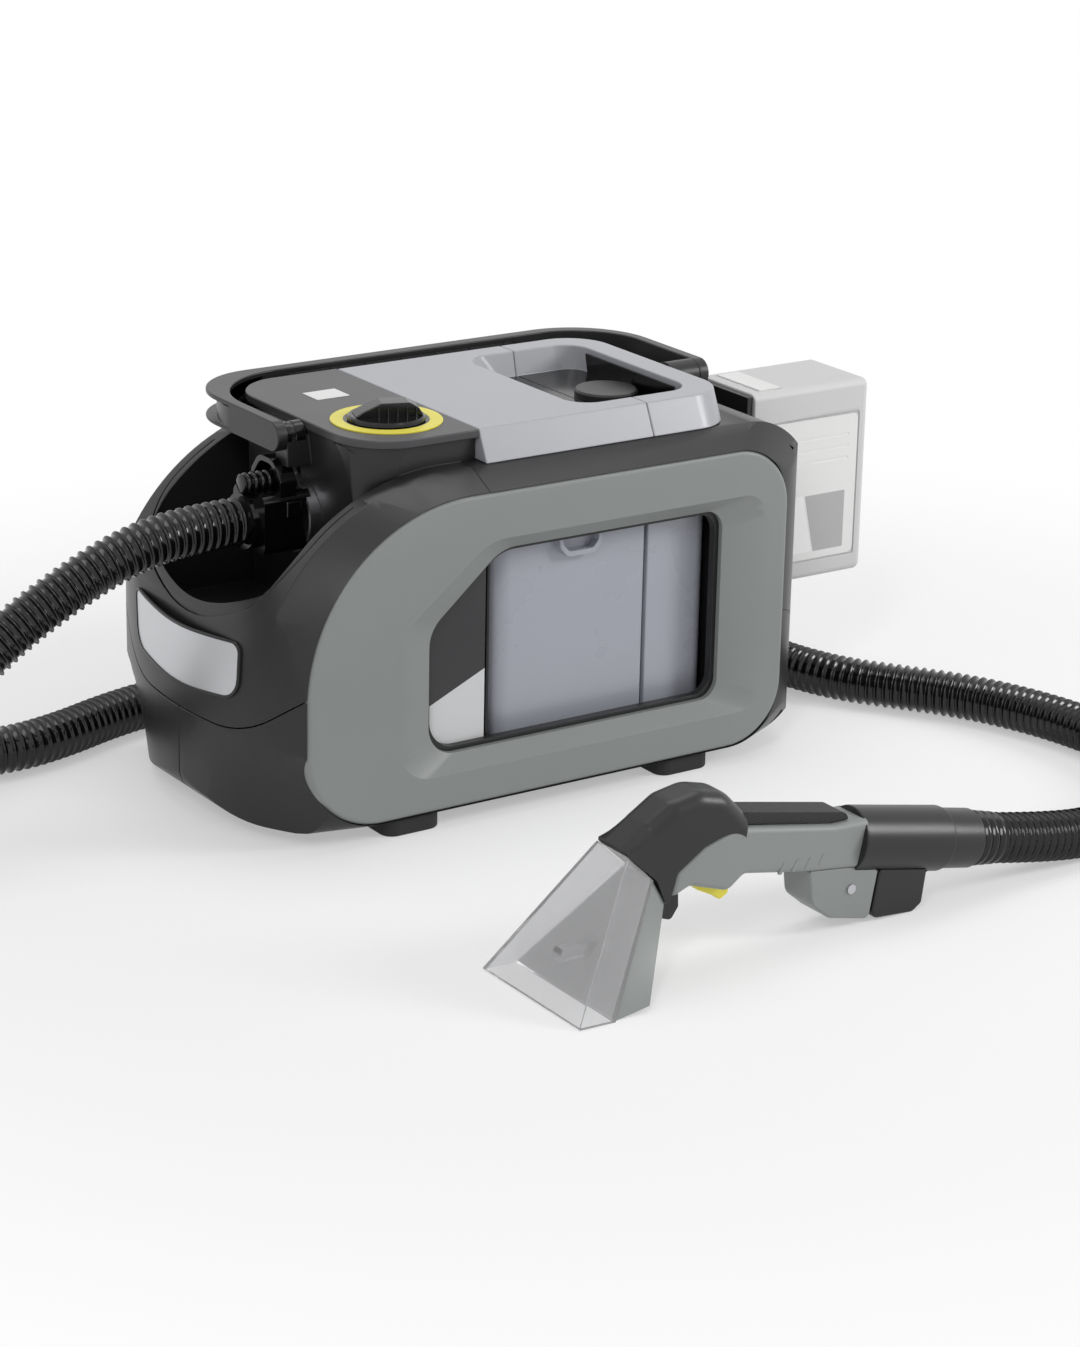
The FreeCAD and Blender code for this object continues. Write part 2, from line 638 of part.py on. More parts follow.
# Mode knob: a skirt, a ridge to grip, and a shaft that goes down into the switch
knob = doc.addObject("PartDesign::Body", "mode_knob")
knob_disc = sketch(knob, "knob_disc", "XY_Plane", f"{panel_top} + knob_gap")
ring(knob_disc, "dial_x", "dial_y", "knob_radius")
feature(knob, "PartDesign::Pad", "knob_skirt_pad", knob_disc, "knob_skirt")
knob_bar = sketch(knob, "knob_bar", "XY_Plane", f"{panel_top} + knob_gap + knob_skirt")
rectangle(knob_bar, ("dial_x - knob_radius + 3", "dial_x + knob_radius - 3"),
          ("dial_y - knob_grip_wide / 2", "dial_y + knob_grip_wide / 2"))
knob_ridge = feature(knob, "PartDesign::Pad", "knob_ridge", knob_bar, "knob_grip")
knob_round = round_edges(knob, "knob_ends", knob_ridge,
                         lambda edge: upright(edge) and edge.Length < size("knob_grip") + 1
                         and abs(edge.CenterOfMass.x - size("dial_x")) > 20, "6")
knob_spindle = sketch(knob, "knob_spindle", "XY_Plane", f"{panel_top} + knob_gap")
ring(knob_spindle, "dial_x", "dial_y", "knob_shaft")
feature(knob, "PartDesign::Pad", "knob_shaft_pad", knob_spindle,
        "panel_thick + wall + knob_gap + switch_high - 6", True)
node("mode_knob", knob)

switch_low = "column_top - wall - switch_high"
node("selector_switch", cut(
    "selector_switch",
    box("switch_case", ("dial_x - switch_size / 2", "dial_x + switch_size / 2"),
        ("dial_y - switch_size / 2", "dial_y + switch_size / 2"), (switch_low, "column_top - wall")),
    rod("switch_bore", "z", ("dial_x", "dial_y", f"{switch_low} + 3"), "knob_shaft + run_gap",
        "switch_high")))

board_z = "column_top - wall - 8"
board_parts = [box("board_plate", ("-143", "-64"), ("24", "90"), (board_z, f"{board_z} + board_thick"))]
for number, (x, y) in enumerate(((-138, 30), (-138, 84), (-70, 30), (-70, 84))):
    board_parts.append(rod(f"standoff_{number}", "z", (x, y, board_z), "3", "8"))
for number, (x, y, wide) in enumerate(((-130, 45, 20), (-100, 60, 28), (-125, 74, 14))):
    board_parts.append(box(f"chip_{number}", (x, x + wide), (y, y + 10), (f"{board_z} - 5", board_z)))
node("control_board", fuse("control_board", *board_parts))


# Carrying handle

def carry_handle():
    """A web with a flange above and below, an arm at each end and a pocket for the grip."""
    arm, wide, high = size("arm_thick"), size("grip_wide"), size("arm_high")
    x0, x1, far = size("handle_front"), size("handle_rear"), size("handle_far")
    side, pivot = size("pivot_y"), size("pivot_z")
    low, top = pivot - high / 2, pivot + high / 2
    front, rear = size("handle_front_radius"), size("handle_rear_radius")

    def plate(bottom, level, bend):
        return prism("xy", bottom, level,
                     [(x0, side, 0), (x1, side, 0), (x1, far, rear), (x0, far, bend)])

    bend, thick = size("flange_radius"), size("flange_thick")
    inner = prism("xy", low, top, [(x0 + arm, side - 1, 0), (x1 - arm, side - 1, 0),
                                   (x1 - arm, far - wide, rear - arm),
                                   (x0 + arm, far - wide, front - arm)])
    body = plate(low, top, front).fuse(
        [plate(top - thick, top, bend), plate(low, low + thick - 1, bend)]).cut(inner)
    body = body.fuse([can("x", x, side, pivot, high / 2, arm) for x in (x0, x1 - arm)])
    pocket = block(size("grip_pad_front"), size("grip_pad_rear"), far - wide - 1,
                   far - wide + size("grip_pad_deep"), low + 6, top - 5)
    hole = size("pin_radius") + size("pivot_gap")
    pins = [can("x", x0 + 4, side, pivot, hole, arm), can("x", x1 - arm - 1, side, pivot, hole, arm - 3)]
    return body.cut([pocket] + pins)


form("carry_handle", carry_handle())

grip_levels = ("pivot_z - arm_high / 2 + 6", "pivot_z + arm_high / 2 - 5")
grip_face = "handle_far - grip_wide"
pad_parts = [box("grip_pad", ("grip_pad_front", "grip_pad_rear"),
                 (f"{grip_face} + 0.4", f"{grip_face} + grip_pad_deep"), grip_levels)]
for number in range(7):
    x = f"grip_pad_front + 5 + {number} * grip_pitch"
    pad_parts.append(box(f"grip_rib_{number}", (x, f"{x} + 2.4"),
                         (f"{grip_face} - 0.8", f"{grip_face} + grip_pad_deep"), grip_levels))
node("handle_grip", fuse("handle_grip", *pad_parts))

node("handle_pins", group(
    "handle_pins",
    rod("front_pin", "x", ("handle_front + 5", "pivot_y", "pivot_z"), "pin_radius",
        "panel_front - handle_front - pivot_gap - 6"),
    rod("rear_pin", "x", ("handle_rear - arm_thick - pivot_gap - 12", "pivot_y", "pivot_z"),
        "pin_radius", "arm_thick + pivot_gap + 7")))


# Container

def tank(label, x0, x1, radius_edges, radius):
    """An open-topped box with rounded upright corners."""
    body = doc.addObject("PartDesign::Body", label)
    base = sketch(body, label + "_plan", "XY_Plane", "tank_low")
    rectangle(base, (x0, x1), ("-tank_half", "tank_half"))
    solid = feature(body, "PartDesign::Pad", label + "_pad", base, "tank_high - tank_low")
    solid = round_edges(body, label + "_corners", solid,
                        lambda edge: upright(edge) and radius_edges(edge.CenterOfMass.x), radius)
    lid_face = [f"Face{n}" for n, face in enumerate(solid.Shape.Faces, start=1)
                if abs(face.BoundBox.ZMin - size("tank_high")) < 0.01]
    shell = body.newObject("PartDesign::Thickness", label + "_shell")
    shell.Base = (solid, lid_face)
    shell.Reversed = True
    bind(shell, "Value", "tank_wall")
    doc.recompute()
    return body


waste = tank("waste_box", "tank_front", "tank_split - tank_groove / 2",
             lambda x: x < size("tank_front") + 40, "tank_front_radius")
fresh = tank("fresh_tank", "tank_split + tank_groove / 2", "tank_rear",
             lambda x: x > size("tank_rear") - 20, "tank_rear_radius")
bridges = [box(f"tank_bridge_{number}", ("tank_split - tank_groove / 2", "tank_split + tank_groove / 2"),
               (y, f"{y} + 12"), ("tank_low + 20", "tank_high - 20"))
           for number, y in enumerate(("-90", "78"))]
node("waste_tank", cut(
    "waste_tank", fuse("waste_walls", waste, *bridges),
    rod("inlet_port", "x", ("tank_front - 1", "0", "socket_z"), "duct_radius - duct_wall", "6"),
    rod("air_port", "x", ("tank_front - 1", "turbine_y", "air_z"), "air_radius - 2", "6")))
node("fresh_tank", fresh)


def lid_frustum(x0, x1, inset, corner):
    low, high = size("casing_high") + size("rest_gap") - (1 if inset else 0), size("lid_high") - inset
    skirt, top = size("lid_skirt_half") - inset, size("lid_half") - inset
    front, rear = x0 + inset, x1 - inset
    corner = max(corner - inset, 0)
    lower, upper = [[(front, -half, 0), (rear, -half, corner), (rear, half, corner), (front, half, 0)]
                    for half in (skirt, top)]
    return taper("xy", low, lower, high, upper)


def lid_recess(grow):
    half = size("recess_half") + grow
    x0, x1 = size("recess_front") - grow, size("recess_rear") + grow
    corner = size("recess_corner") + grow
    slope = 22
    low, high = size("recess_floor") - grow, size("lid_high") + 1
    return taper("xy", low, rect(x0 + slope, x1, -half + 6, half - 6, corner - 6), high,
                 rect(x0, x1, -half, half, corner))


def lid(x0, x1, corner):
    thick = size("lid_thick")
    inside = lid_frustum(x0, x1, thick, corner).cut(lid_recess(thick))
    shell = lid_frustum(x0, x1, 0.0, corner).cut(inside)
    return shell.cut(lid_recess(0.0))


form("front_lid", lid(size("lid_front"), size("lid_split"), 0))
form("rear_lid", lid(size("lid_split") + size("lid_gap"), size("lid_rear"),
                     size("lid_corner")))

seal_z = ("tank_high", "casing_high + rest_gap")
node("lid_seal", cut(
    "lid_seal",
    box("seal_block", ("tank_front + 8", "tank_rear"), ("-tank_half", "tank_half"), seal_z),
    box("seal_hole_front", ("tank_front + 11", "tank_split - tank_groove / 2 - tank_wall"),
        ("-tank_half + tank_wall", "tank_half - tank_wall"), seal_z),
    box("seal_hole_rear", ("tank_split + tank_groove / 2 + tank_wall", "tank_rear - tank_wall"),
        ("-tank_half + tank_wall", "tank_half - tank_wall"), seal_z)))

node("tank_grip", rod("tank_grip", "z", ("grip_x", "grip_y", "recess_floor"), "grip_radius",
                      "grip_top - recess_floor"))

# Float cage under the front lid, with the float inside it
cage_at = ("cage_x", "cage_y")
cage_inner = "cage_radius - cage_wall"
node("float_cage", cut(
    "float_cage",
    rod("cage_body", "z", (*cage_at, "cage_low"), "cage_radius", "lid_high - lid_thick - cage_low"),
    rod("cage_bore", "z", (*cage_at, "cage_low + cage_wall"), cage_inner, "lid_high"),
    rod("cage_drain", "z", (*cage_at, "cage_low - 1"), "cage_radius / 2", "cage_wall + 2"),
    box("cage_slot_x", ("cage_x - 40", "cage_x + 40"), ("cage_y - 9", "cage_y + 9"),
        ("cage_low + 14", "cage_low + 70")),
    box("cage_slot_y", ("cage_x - 9", "cage_x + 9"), ("cage_y - 40", "cage_y + 40"),
        ("cage_low + 14", "cage_low + 70"))))
node("float_body", rod("float_body", "z", (*cage_at, "cage_low + cage_wall + rest_gap"),
                       "cage_radius - cage_wall - float_gap", "float_high"))

inlet_x = "tank_front + tank_wall"
spout_x = "tank_front + tank_wall + 17.5"
node("waste_inlet", cut(
    "waste_inlet",
    fuse("inlet_outside", rod("inlet_pipe", "x", (inlet_x, "0", "socket_z"), "duct_radius", "30"),
         rod("spout", "z", (spout_x, "0", "socket_z - 24"), "16", "24")),
    fuse("inlet_inside",
         rod("inlet_bore", "x", (inlet_x, "0", "socket_z"), "duct_radius - duct_wall", "27.5"),
         rod("spout_bore", "z", (spout_x, "0", "socket_z - 25"), "13.5", "25"))))
node("fluff_filter", cut(
    "fluff_filter", rod("filter_cup", "z", (spout_x, "0", "socket_z - 50"), "16", "26"),
    rod("filter_bore", "z", (spout_x, "0", "socket_z - 48"), "13.5", "26"),
    *[box(f"filter_slot_{number}", (f"{spout_x} - 20", f"{spout_x} + 20"), (y, f"{y} + 4"),
          ("socket_z - 44", "socket_z - 30")) for number, y in enumerate((-9, -2, 5))]))


# Suction: turbine, motor and ducts in the front of the casing

turbine_at = ("turbine_x", "turbine_y")
floor_top = "casing_low + wall"
motor_low = "casing_low + wall + mount_high"
node("turbine_motor", cut(
    "turbine_motor",
    rod("motor_can", "z", (*turbine_at, motor_low), "motor_radius", f"turbine_low - ({motor_low})"),
    rod("motor_bore", "z", (*turbine_at, f"{motor_low} + 3"), "bearing_radius", "turbine_low")))
node("motor_bearings", group(
    "motor_bearings",
    tube("low_bearing", "z", (*turbine_at, f"{motor_low} + 3"), "bearing_radius",
         "shaft_radius + run_gap", "bearing_high"),
    tube("high_bearing", "z", (*turbine_at, "turbine_low - bearing_high"), "bearing_radius",
         "shaft_radius + run_gap", "bearing_high")))
shell_low, shell_high = "turbine_low + 3", "turbine_high - 3"
node("turbine_housing", cut(
    "turbine_housing",
    rod("housing_can", "z", (*turbine_at, "turbine_low"), "turbine_radius", "turbine_high - turbine_low"),
    rod("housing_space", "z", (*turbine_at, shell_low), "turbine_radius - 4",
        f"{shell_high} - ({shell_low})"),
    rod("housing_shaft_hole", "z", (*turbine_at, "turbine_low - 1"), "shaft_radius + 1", "6"),
    rod("housing_eye", "z", (*turbine_at, "turbine_high - 4"), "air_radius - 2", "6"),
    box("housing_outlet", ("turbine_x - turbine_radius - 1", "turbine_x - turbine_radius + 14"),
        ("turbine_y - 12", "turbine_y + 12"), (f"{shell_low} + 2", f"{shell_high} - 2"))))

# The rotor turns on its shaft: a disc with radial blades made as a polar pattern
rotor = doc.addObject("PartDesign::Body", "turbine_rotor")
rotor_disc = sketch(rotor, "rotor_disc", "XY_Plane", f"{shell_low} + rotor_gap")
ring(rotor_disc, "0", "0", "turbine_radius - 8")
feature(rotor, "PartDesign::Pad", "rotor_disc_pad", rotor_disc, "3")
rotor_shaft = sketch(rotor, "rotor_shaft", "XY_Plane", f"{motor_low} + 5")
ring(rotor_shaft, "0", "0", "shaft_radius")
feature(rotor, "PartDesign::Pad", "rotor_shaft_pad", rotor_shaft,
        f"{shell_high} - rotor_gap - ({motor_low} + 5)")
blade_sketch = sketch(rotor, "rotor_blade", "XY_Plane", f"{shell_low} + rotor_gap + 3")
rectangle(blade_sketch, ("14", "turbine_radius - 9"), ("-1.2", "1.2"))
blade = feature(rotor, "PartDesign::Pad", "rotor_blade_pad", blade_sketch,
                "turbine_high - turbine_low - 6 - rotor_gap * 2 - 3")
blades = rotor.newObject("PartDesign::PolarPattern", "rotor_blades")
blades.Originals = [blade]
blades.Axis = (blade_sketch, ["N_Axis"])
blades.Angle = 360
blades.Occurrences = 9
rotor.Tip = blades
PLACES[rotor.Name] = (*turbine_at, "0")
node("turbine_rotor", rotor)

node("air_duct", cut(
    "air_duct",
    fuse("air_outside", rod("air_riser", "z", (*turbine_at, "turbine_high"), "air_radius",
                            "air_z + air_radius - turbine_high"),
         rod("air_run", "x", (*turbine_at, "air_z"), "air_radius", "tank_front - rest_gap - turbine_x")),
    fuse("air_inside", rod("air_riser_bore", "z", (*turbine_at, "turbine_high - 1"), "air_radius - 2",
                           "air_z + 1 - turbine_high"),
         rod("air_run_bore", "x", (*turbine_at, "air_z"), "air_radius - 2", "tank_front + 20 - turbine_x"))))
node("suction_duct", tube("suction_duct", "x", ("socket_x - 2", "0", "socket_z"), "duct_radius",
                          "duct_radius - duct_wall", "tank_front - rest_gap - socket_x + 2"))
exhaust_y = ("turbine_y - 18", "turbine_y + 18")
exhaust_in = ("turbine_y - 16", "turbine_y + 16")
node("exhaust_duct", cut(
    "exhaust_duct",
    fuse("exhaust_outside", box("exhaust_drop", ("-216", "-188"), exhaust_y, (floor_top, "turbine_high - 6")),
         box("exhaust_neck", ("-188", "turbine_x - 40"), exhaust_y, ("turbine_low + 6", "turbine_high - 6"))),
    fuse("exhaust_inside", box("exhaust_drop_in", ("-214", "-190"), exhaust_in, ("0", "turbine_high - 8")),
         box("exhaust_neck_in", ("-200", "turbine_x"), exhaust_in, ("turbine_low + 8", "turbine_high - 8"))),
    rod("exhaust_seat", "z", (*turbine_at, "0"), "turbine_radius", "200")))

# Pump and its water line
pump_at = ("pump_x", "pump_y")
pump_low = "casing_low + wall + rest_gap"
node("pump_body", cut(
    "pump_body", rod("pump_can", "z", (*pump_at, pump_low), "pump_radius", "pump_high"),
    rod("pump_space", "z", (*pump_at, f"{pump_low} + 26"), "pump_radius - 5", "pump_high - 30"),
    rod("pump_bearing", "z", (*pump_at, f"{pump_low} + 6"), "3 + run_gap", "24")))
node("pump_rotor", fuse(
    "pump_rotor", rod("pump_disc", "z", (*pump_at, f"{pump_low} + 29"), "pump_radius - 8", "4"),
    rod("pump_shaft", "z", (*pump_at, f"{pump_low} + 7"), "3", "34"),
    box("pump_blade_x", ("pump_x - pump_radius + 9", "pump_x + pump_radius - 9"),
        ("pump_y - 1.5", "pump_y + 1.5"), (f"{pump_low} + 32", f"{pump_low} + 42")),
    box("pump_blade_y", ("pump_x - 1.5", "pump_x + 1.5"),
        ("pump_y - pump_radius + 9", "pump_y + pump_radius - 9"),
        (f"{pump_low} + 32", f"{pump_low} + 42"))))


def rounded_path(points, radius_of):
    """Straight runs joined by tangent arcs; returns the runs and arcs as Part curves."""
    curves, start = [], points[0]
    radii = []
    for n in range(1, len(points) - 1):
        back = points[n - 1] - points[n]
        ahead = points[n + 1] - points[n]
        short = min(back.Length, ahead.Length)
        back.normalize()
        ahead.normalize()
        half = back.getAngle(ahead) / 2
        radius = radius_of(short, math.pi / 2 - half)
        reach = radius / math.tan(half)
        radii.append(radius)
        enter, leave = points[n] + back * reach, points[n] + ahead * reach
        middle = (back + ahead).normalize()
        top = points[n] + middle * (radius / math.sin(half) - radius)
        curves.append(Part.LineSegment(start, enter))
        curves.append(Part.Arc(enter, top, leave))
        start = leave
    curves.append(Part.LineSegment(start, points[-1]))
    return curves, radii


def water_line():
    x, y = size("pump_x"), size("pump_y") - size("pump_radius")
    rise_x, spray_x = size("turbine_x") + 37, size("column_top_x") + 7
    points = [V(x, y, LINE_Z), V(x, -LINE_Y, LINE_Z), V(rise_x, -LINE_Y, LINE_Z),
              V(rise_x, -LINE_Y, SPRAY_Z), V(rise_x, SPRAY_Y, SPRAY_Z), V(spray_x, SPRAY_Y, SPRAY_Z)]
    curves, radii = rounded_path(points, lambda short, turn: size("line_bend"))
    wire = Part.Wire([curve.toShape() for curve in curves])
    circle = Part.Wire(Part.makeCircle(size("line_radius"), points[0], V(0, -1, 0)))
    return wire.makePipeShell([circle], True, False)


form("water_line", water_line())


# Hose socket and connector on the column's front

COLUMN = column(0)
socket_z = size("socket_z")
head_x = size("column_top_x")
socket_front = head_x + 2


def hose_connector():
    half, front = size("connector_half"), size("connector_front")
    collar = can("x", front, 0, socket_z, half - 2.5, size("socket_x") - front)
    body = prism("yz", front + 8, socket_front - 0.5,
                 rect(-half, half, socket_z - half, socket_z + half, 9))
    bore = can("x", front - 1, 0, socket_z, size("hose_bore"), 100)
    pocket = block(LATCH_X - 0.5, LATCH_X + 14.5, -half - 1, -half + 7.5, socket_z + 5, socket_z + 20)
    return collar.fuse(body).cut([bore, pocket, COLUMN])


LATCH_X = size("latch_x")
form("hose_connector", hose_connector())
latch_y = -size("connector_half")
latch = block(LATCH_X, LATCH_X + 14, latch_y - 3, latch_y + 4, socket_z + 5.5, socket_z + 19.5)
form("connector_latch", softened(latch, 1.5, lambda edge: edge.CenterOfMass.y < latch_y - 2.9))

spray_ribs = [can("x", -220 + 7 * number, SPRAY_Y, SPRAY_Z, 9.2, 3) for number in range(5)]
form("spray_coupling", can("x", -222, SPRAY_Y, SPRAY_Z, 8, 70).fuse(spray_ribs).cut(COLUMN))


# Battery: it slides up off two rails of the dock

rail_boxes = [box(f"rail_{number}", ("casing_rear", "casing_rear + rail_deep"),
                  (f"{y} - rail_wide / 2", f"{y} + rail_wide / 2"), ("rail_low", "rail_high"))
              for number, y in enumerate(("-rail_y", "rail_y"))]
contacts = [box(f"contact_{number}", ("casing_rear", "casing_rear + 7"), (y, y + 1.2),
                ("battery_low + 16", "battery_low + 40")) for number, y in enumerate((-8, -4, 0, 4, 8))]
node("rear_dock", fuse(
    "rear_dock", box("dock_plate", ("casing_rear - dock_thick", "casing_rear"), ("-dock_half", "dock_half"),
                     ("dock_low", "dock_high")), *rail_boxes, *contacts))

battery = doc.addObject("PartDesign::Body", "battery_pack")
battery_plan = sketch(battery, "battery_plan", "XY_Plane", "battery_low")
rectangle(battery_plan, ("casing_rear + battery_gap", "battery_rear"), ("-battery_half", "battery_half"))
battery_pad = feature(battery, "PartDesign::Pad", "battery_pad", battery_plan, "battery_high - battery_low")
battery_round = round_edges(battery, "battery_corners", battery_pad,
                            lambda edge: edge.CenterOfMass.x > size("casing_rear") + 5, "battery_edge")
for number, y in enumerate(("-rail_y", "rail_y")):
    groove = sketch(battery, f"groove_{number}", "XY_Plane", "battery_low")
    rectangle(groove, ("casing_rear - 1", "casing_rear + rail_deep + slide_gap"),
              (f"{y} - rail_wide / 2 - slide_gap", f"{y} + rail_wide / 2 + slide_gap"))
    feature(battery, "PartDesign::Pocket", f"groove_cut_{number}", groove,
            "rail_high + rest_gap - battery_low", True)
slot = sketch(battery, "contact_slot", "XY_Plane", "battery_low")
rectangle(slot, ("casing_rear - 1", "casing_rear + 9"), ("-11", "12"))
feature(battery, "PartDesign::Pocket", "contact_slot_cut", slot, "42", True)
button_hole = sketch(battery, "button_hole", "XY_Plane", "battery_high")
rectangle(button_hole, ("button_front - battery_gap", "button_rear + battery_gap"),
          ("-button_half - battery_gap", "button_half + battery_gap"))
feature(battery, "PartDesign::Pocket", "button_pocket", button_hole, "button_high + button_travel + 2")
for number, (y, turn) in enumerate((("-battery_half", False), ("battery_half", True))):
    relief = sketch(battery, f"relief_{number}", "XZ_Plane", f"-({y})")
    rectangle(relief, ("casing_rear + 12", "battery_rear - 11"), ("132", "267"))
    feature(battery, "PartDesign::Pocket", f"relief_cut_{number}", relief, "panel_relief", turn)
node("battery_pack", battery)

node("battery_button", box("battery_button", ("button_front", "button_rear"), ("-button_half", "button_half"),
                           ("battery_high + button_proud - button_high", "battery_high + button_proud")))
spring_low = "battery_high - button_high - button_travel - 2"
node("button_spring", tube("button_spring", "z", ("(button_front + button_rear) / 2", "0", spring_low), "5",
                           "3.5", "1.6"))


# Suction hose: ribs on a tube along the route

HOSE_ROUTE = [
    (-212, 0, 244.5), (-267, 0, 244.5), (-322, -1, 234), (-376, 0, 210), (-432, 1, 178), (-484, -2, 139),
    (-530, -20, 98), (-575, -44, 62), (-628, -61, 34), (-694, -65, 21), (-780, -2, 21), (-813, 100, 21),
    (-780, 202, 21), (-694, 265, 21), (-620, 266, 21), (-560, 250, 21), (-508, 221, 21), (-458, 186, 21),
    (-406, 158, 21), (-352, 150, 21), (-300, 162, 21), (-247, 183, 21), (-192, 196, 21), (-135, 200, 21),
    (-76, 199, 21), (-16, 202, 21), (44, 201, 21), (104, 203, 21), (164, 203, 21), (222, 199, 21),
    (276, 183, 21), (322, 149, 21), (350, 98, 21), (359, 40, 21), (364, -18, 21), (382, -72, 21),
    (415, -118, 21), (447, -163, 21), (470, -214, 21), (484, -268, 21), (489, -325, 21), (478, -383, 21),
    (446, -432, 21), (400, -463, 21), (350, -477, 21.2), (294.9, -480, 21.2)]


def tool_direction():
    turn = math.radians(size("tool_pitch"))
    return V(math.cos(turn), 0, -math.sin(turn))


def cuff_end():
    start = V(size("sleeve_x"), size("tool_y"), size("sleeve_z"))
    return start + tool_direction() * (size("sleeve_long") + size("cuff_long"))


def along(curves, distance):
    """The point and the heading at a distance along runs and arcs."""
    for curve in curves:
        long = curve.length()
        if distance <= long or curve is curves[-1]:
            at = curve.parameterAtDistance(min(distance, long), curve.FirstParameter)
            return curve.value(at), V(*curve.tangent(at)[0]).normalize()
        distance -= long


def hose_ring(curves, distance, radius):
    """A circle square to the route, its own X axis kept level."""
    at, heading = along(curves, distance)
    side = heading.cross(V(0, 0, 1)).normalize()
    turn = FreeCAD.Rotation(side, heading.cross(side), heading, "ZXY")
    wire = Part.Wire(Part.makeCircle(radius))
    wire.Placement = FreeCAD.Placement(at, turn)
    return wire


def suction_hose():
    points = [V(*point) for point in HOSE_ROUTE] + [cuff_end()]
    curves, radii = rounded_path(points, lambda short, turn: 0.45 * short / math.tan(turn))
    print("hose radii: " + " ".join(f"{radius:.0f}" for radius in radii))
    long = sum(curve.length() for curve in curves)
    end, pitch = 2 * size("hose_radius"), size("rib_pitch")
    count = int((long - 2 * end) / pitch)
    crest, root, bore = size("hose_radius"), size("hose_root"), size("hose_bore")
    outer = [hose_ring(curves, 0, root)]
    inner = [hose_ring(curves, 0, bore)]
    for n in range(count):
        start = end + n * pitch
        for share, radius in ((0.1, root), (0.3, crest), (0.6, crest), (0.8, root)):
            outer.append(hose_ring(curves, start + share * pitch, radius))
        inner.append(hose_ring(curves, start + 0.5 * pitch, bore))
    outer.append(hose_ring(curves, long, root))
    inner.append(hose_ring(curves, long, bore))
    print(f"hose: length {long:.0f}, {count} ribs, least gap between ribs {pitch * 0.5:.1f}")
    skin = Part.makeLoft(outer, False, True)
    lining = Part.makeLoft(inner, False, True)
    ends = [Part.makeFace([outer[n], inner[n]], "Part::FaceMakerBullseye") for n in (0, -1)]
    shell = Part.makeShell(skin.Faces + lining.Faces + ends)
    shell.sewShape()
    solid = Part.makeSolid(shell)
    if solid.Volume < 0:
        solid.reverse()
    plain = math.pi * (root * root - bore * bore) * long
    print(f"hose: volume {solid.Volume / 1000:.0f} cm3, the plain tube without ribs {plain / 1000:.0f} cm3")
    return solid


form("suction_hose", suction_hose())


# Hand tool, laid out along X about its own middle plane

TOOL_Y = size("tool_y")


def tool_slab(half, corners):
    return prism("xz", TOOL_Y - half, TOOL_Y + half, corners)


def on_tool_axis(shape):
    shape.rotate(V(), V(0, 1, 0), size("tool_pitch"))
    shape.translate(V(size("sleeve_x"), TOOL_Y, size("sleeve_z")))
    return shape


def tool_sleeve():
    radius, long = size("sleeve_radius"), size("sleeve_long")
    body = can("x", 0, 0, 0, radius, long).cut(can("x", -1, 0, 0, size("duct_radius") - 3, long + 2))
    return on_tool_axis(softened(body, 2.5, lambda edge: abs(edge.CenterOfMass.x - long) < 0.01
                                 and edge.Length > 140))


def hose_cuff():
    radius, long = size("cuff_radius"), size("cuff_long")
    body = Part.makeCone(radius, size("hose_radius") + 0.5, long, V(), V(1, 0, 0))
    body = body.cut(can("x", -1, 0, 0, size("hose_bore"), long + 2))
    body.translate(V(size("sleeve_long"), 0, 0))
    return on_tool_axis(body)


SLEEVE = tool_sleeve()
form("tool_sleeve", SLEEVE)
form("hose_cuff", hose_cuff())
SLEEVE_SOLID = on_tool_axis(can("x", 0, 0, 0, size("sleeve_radius"), size("sleeve_long")))

SHELL_SIDE = [(-124, 62, 4), (-104, 70, 8), (-68, 58, 10), (-53, 69, 8), (10, 57, 12), (66, 50, 0),
              (66, 90, 0), (34, 91, 20), (-63, 109, 30), (-93, 100, 14), (-118, 84, 8)]
TRIGGER_PIVOT = (-92.0, 76.0)


def tool_shell():
    half = size("tool_half")
    body = tool_slab(half, SHELL_SIDE)
    body = softened(body, 5.0, lambda edge: abs(abs(edge.CenterOfMass.y - TOOL_Y) - half) < 0.01
                    and edge.CenterOfMass.x < 60)
    wide = size("trigger_half") + size("trigger_gap")
    space = block(-104, -50, TOOL_Y - wide, TOOL_Y + wide, 40, 90)
    valve = block(-50, -20, TOOL_Y - 7, TOOL_Y + 7, 73, 87)
    pin = can("y", TRIGGER_PIVOT[0], TOOL_Y - half + 4, TRIGGER_PIVOT[1], 2, 2 * half - 8)
    return body.cut([space, valve, SLEEVE_SOLID]).fuse(pin)


SHELL = tool_shell()
form("tool_shell", SHELL)

BRACKET = tool_slab(18, [(11, 60, 0), (15, 28, 12), (33, 13, 10), (73, 4, 5), (80, 42, 0), (72, 70, 0)])
BRACKET = BRACKET.cut([SHELL, SLEEVE_SOLID])
form("tool_bracket", BRACKET)
form("tool_cleat", tool_slab(18, [(84, 55, 0), (75, 3, 7), (118, 0, 8), (127, 6, 4), (133, 50, 0)]).cut(
    [BRACKET, SLEEVE_SOLID]))

ELBOW = tool_slab(size("tool_half") + 0.5, [
    (-165, 108, 3), (-143, 126, 26), (-120, 140, 20), (-95, 144.5, 26), (-70, 138, 24), (-50, 117, 0),
    (-54, 100, 0), (-100, 78, 0), (-128, 61, 0), (-137, 82, 0)])
ELBOW = ELBOW.cut([tool_slab(30, SHELL_SIDE)])
form("tool_elbow", ELBOW)
form("tool_grip", tool_slab(13, [(-52, 118, 0), (52, 97, 8), (50, 80, 0), (-52, 95, 0)]).cut(
    [SHELL, ELBOW, SLEEVE_SOLID]))


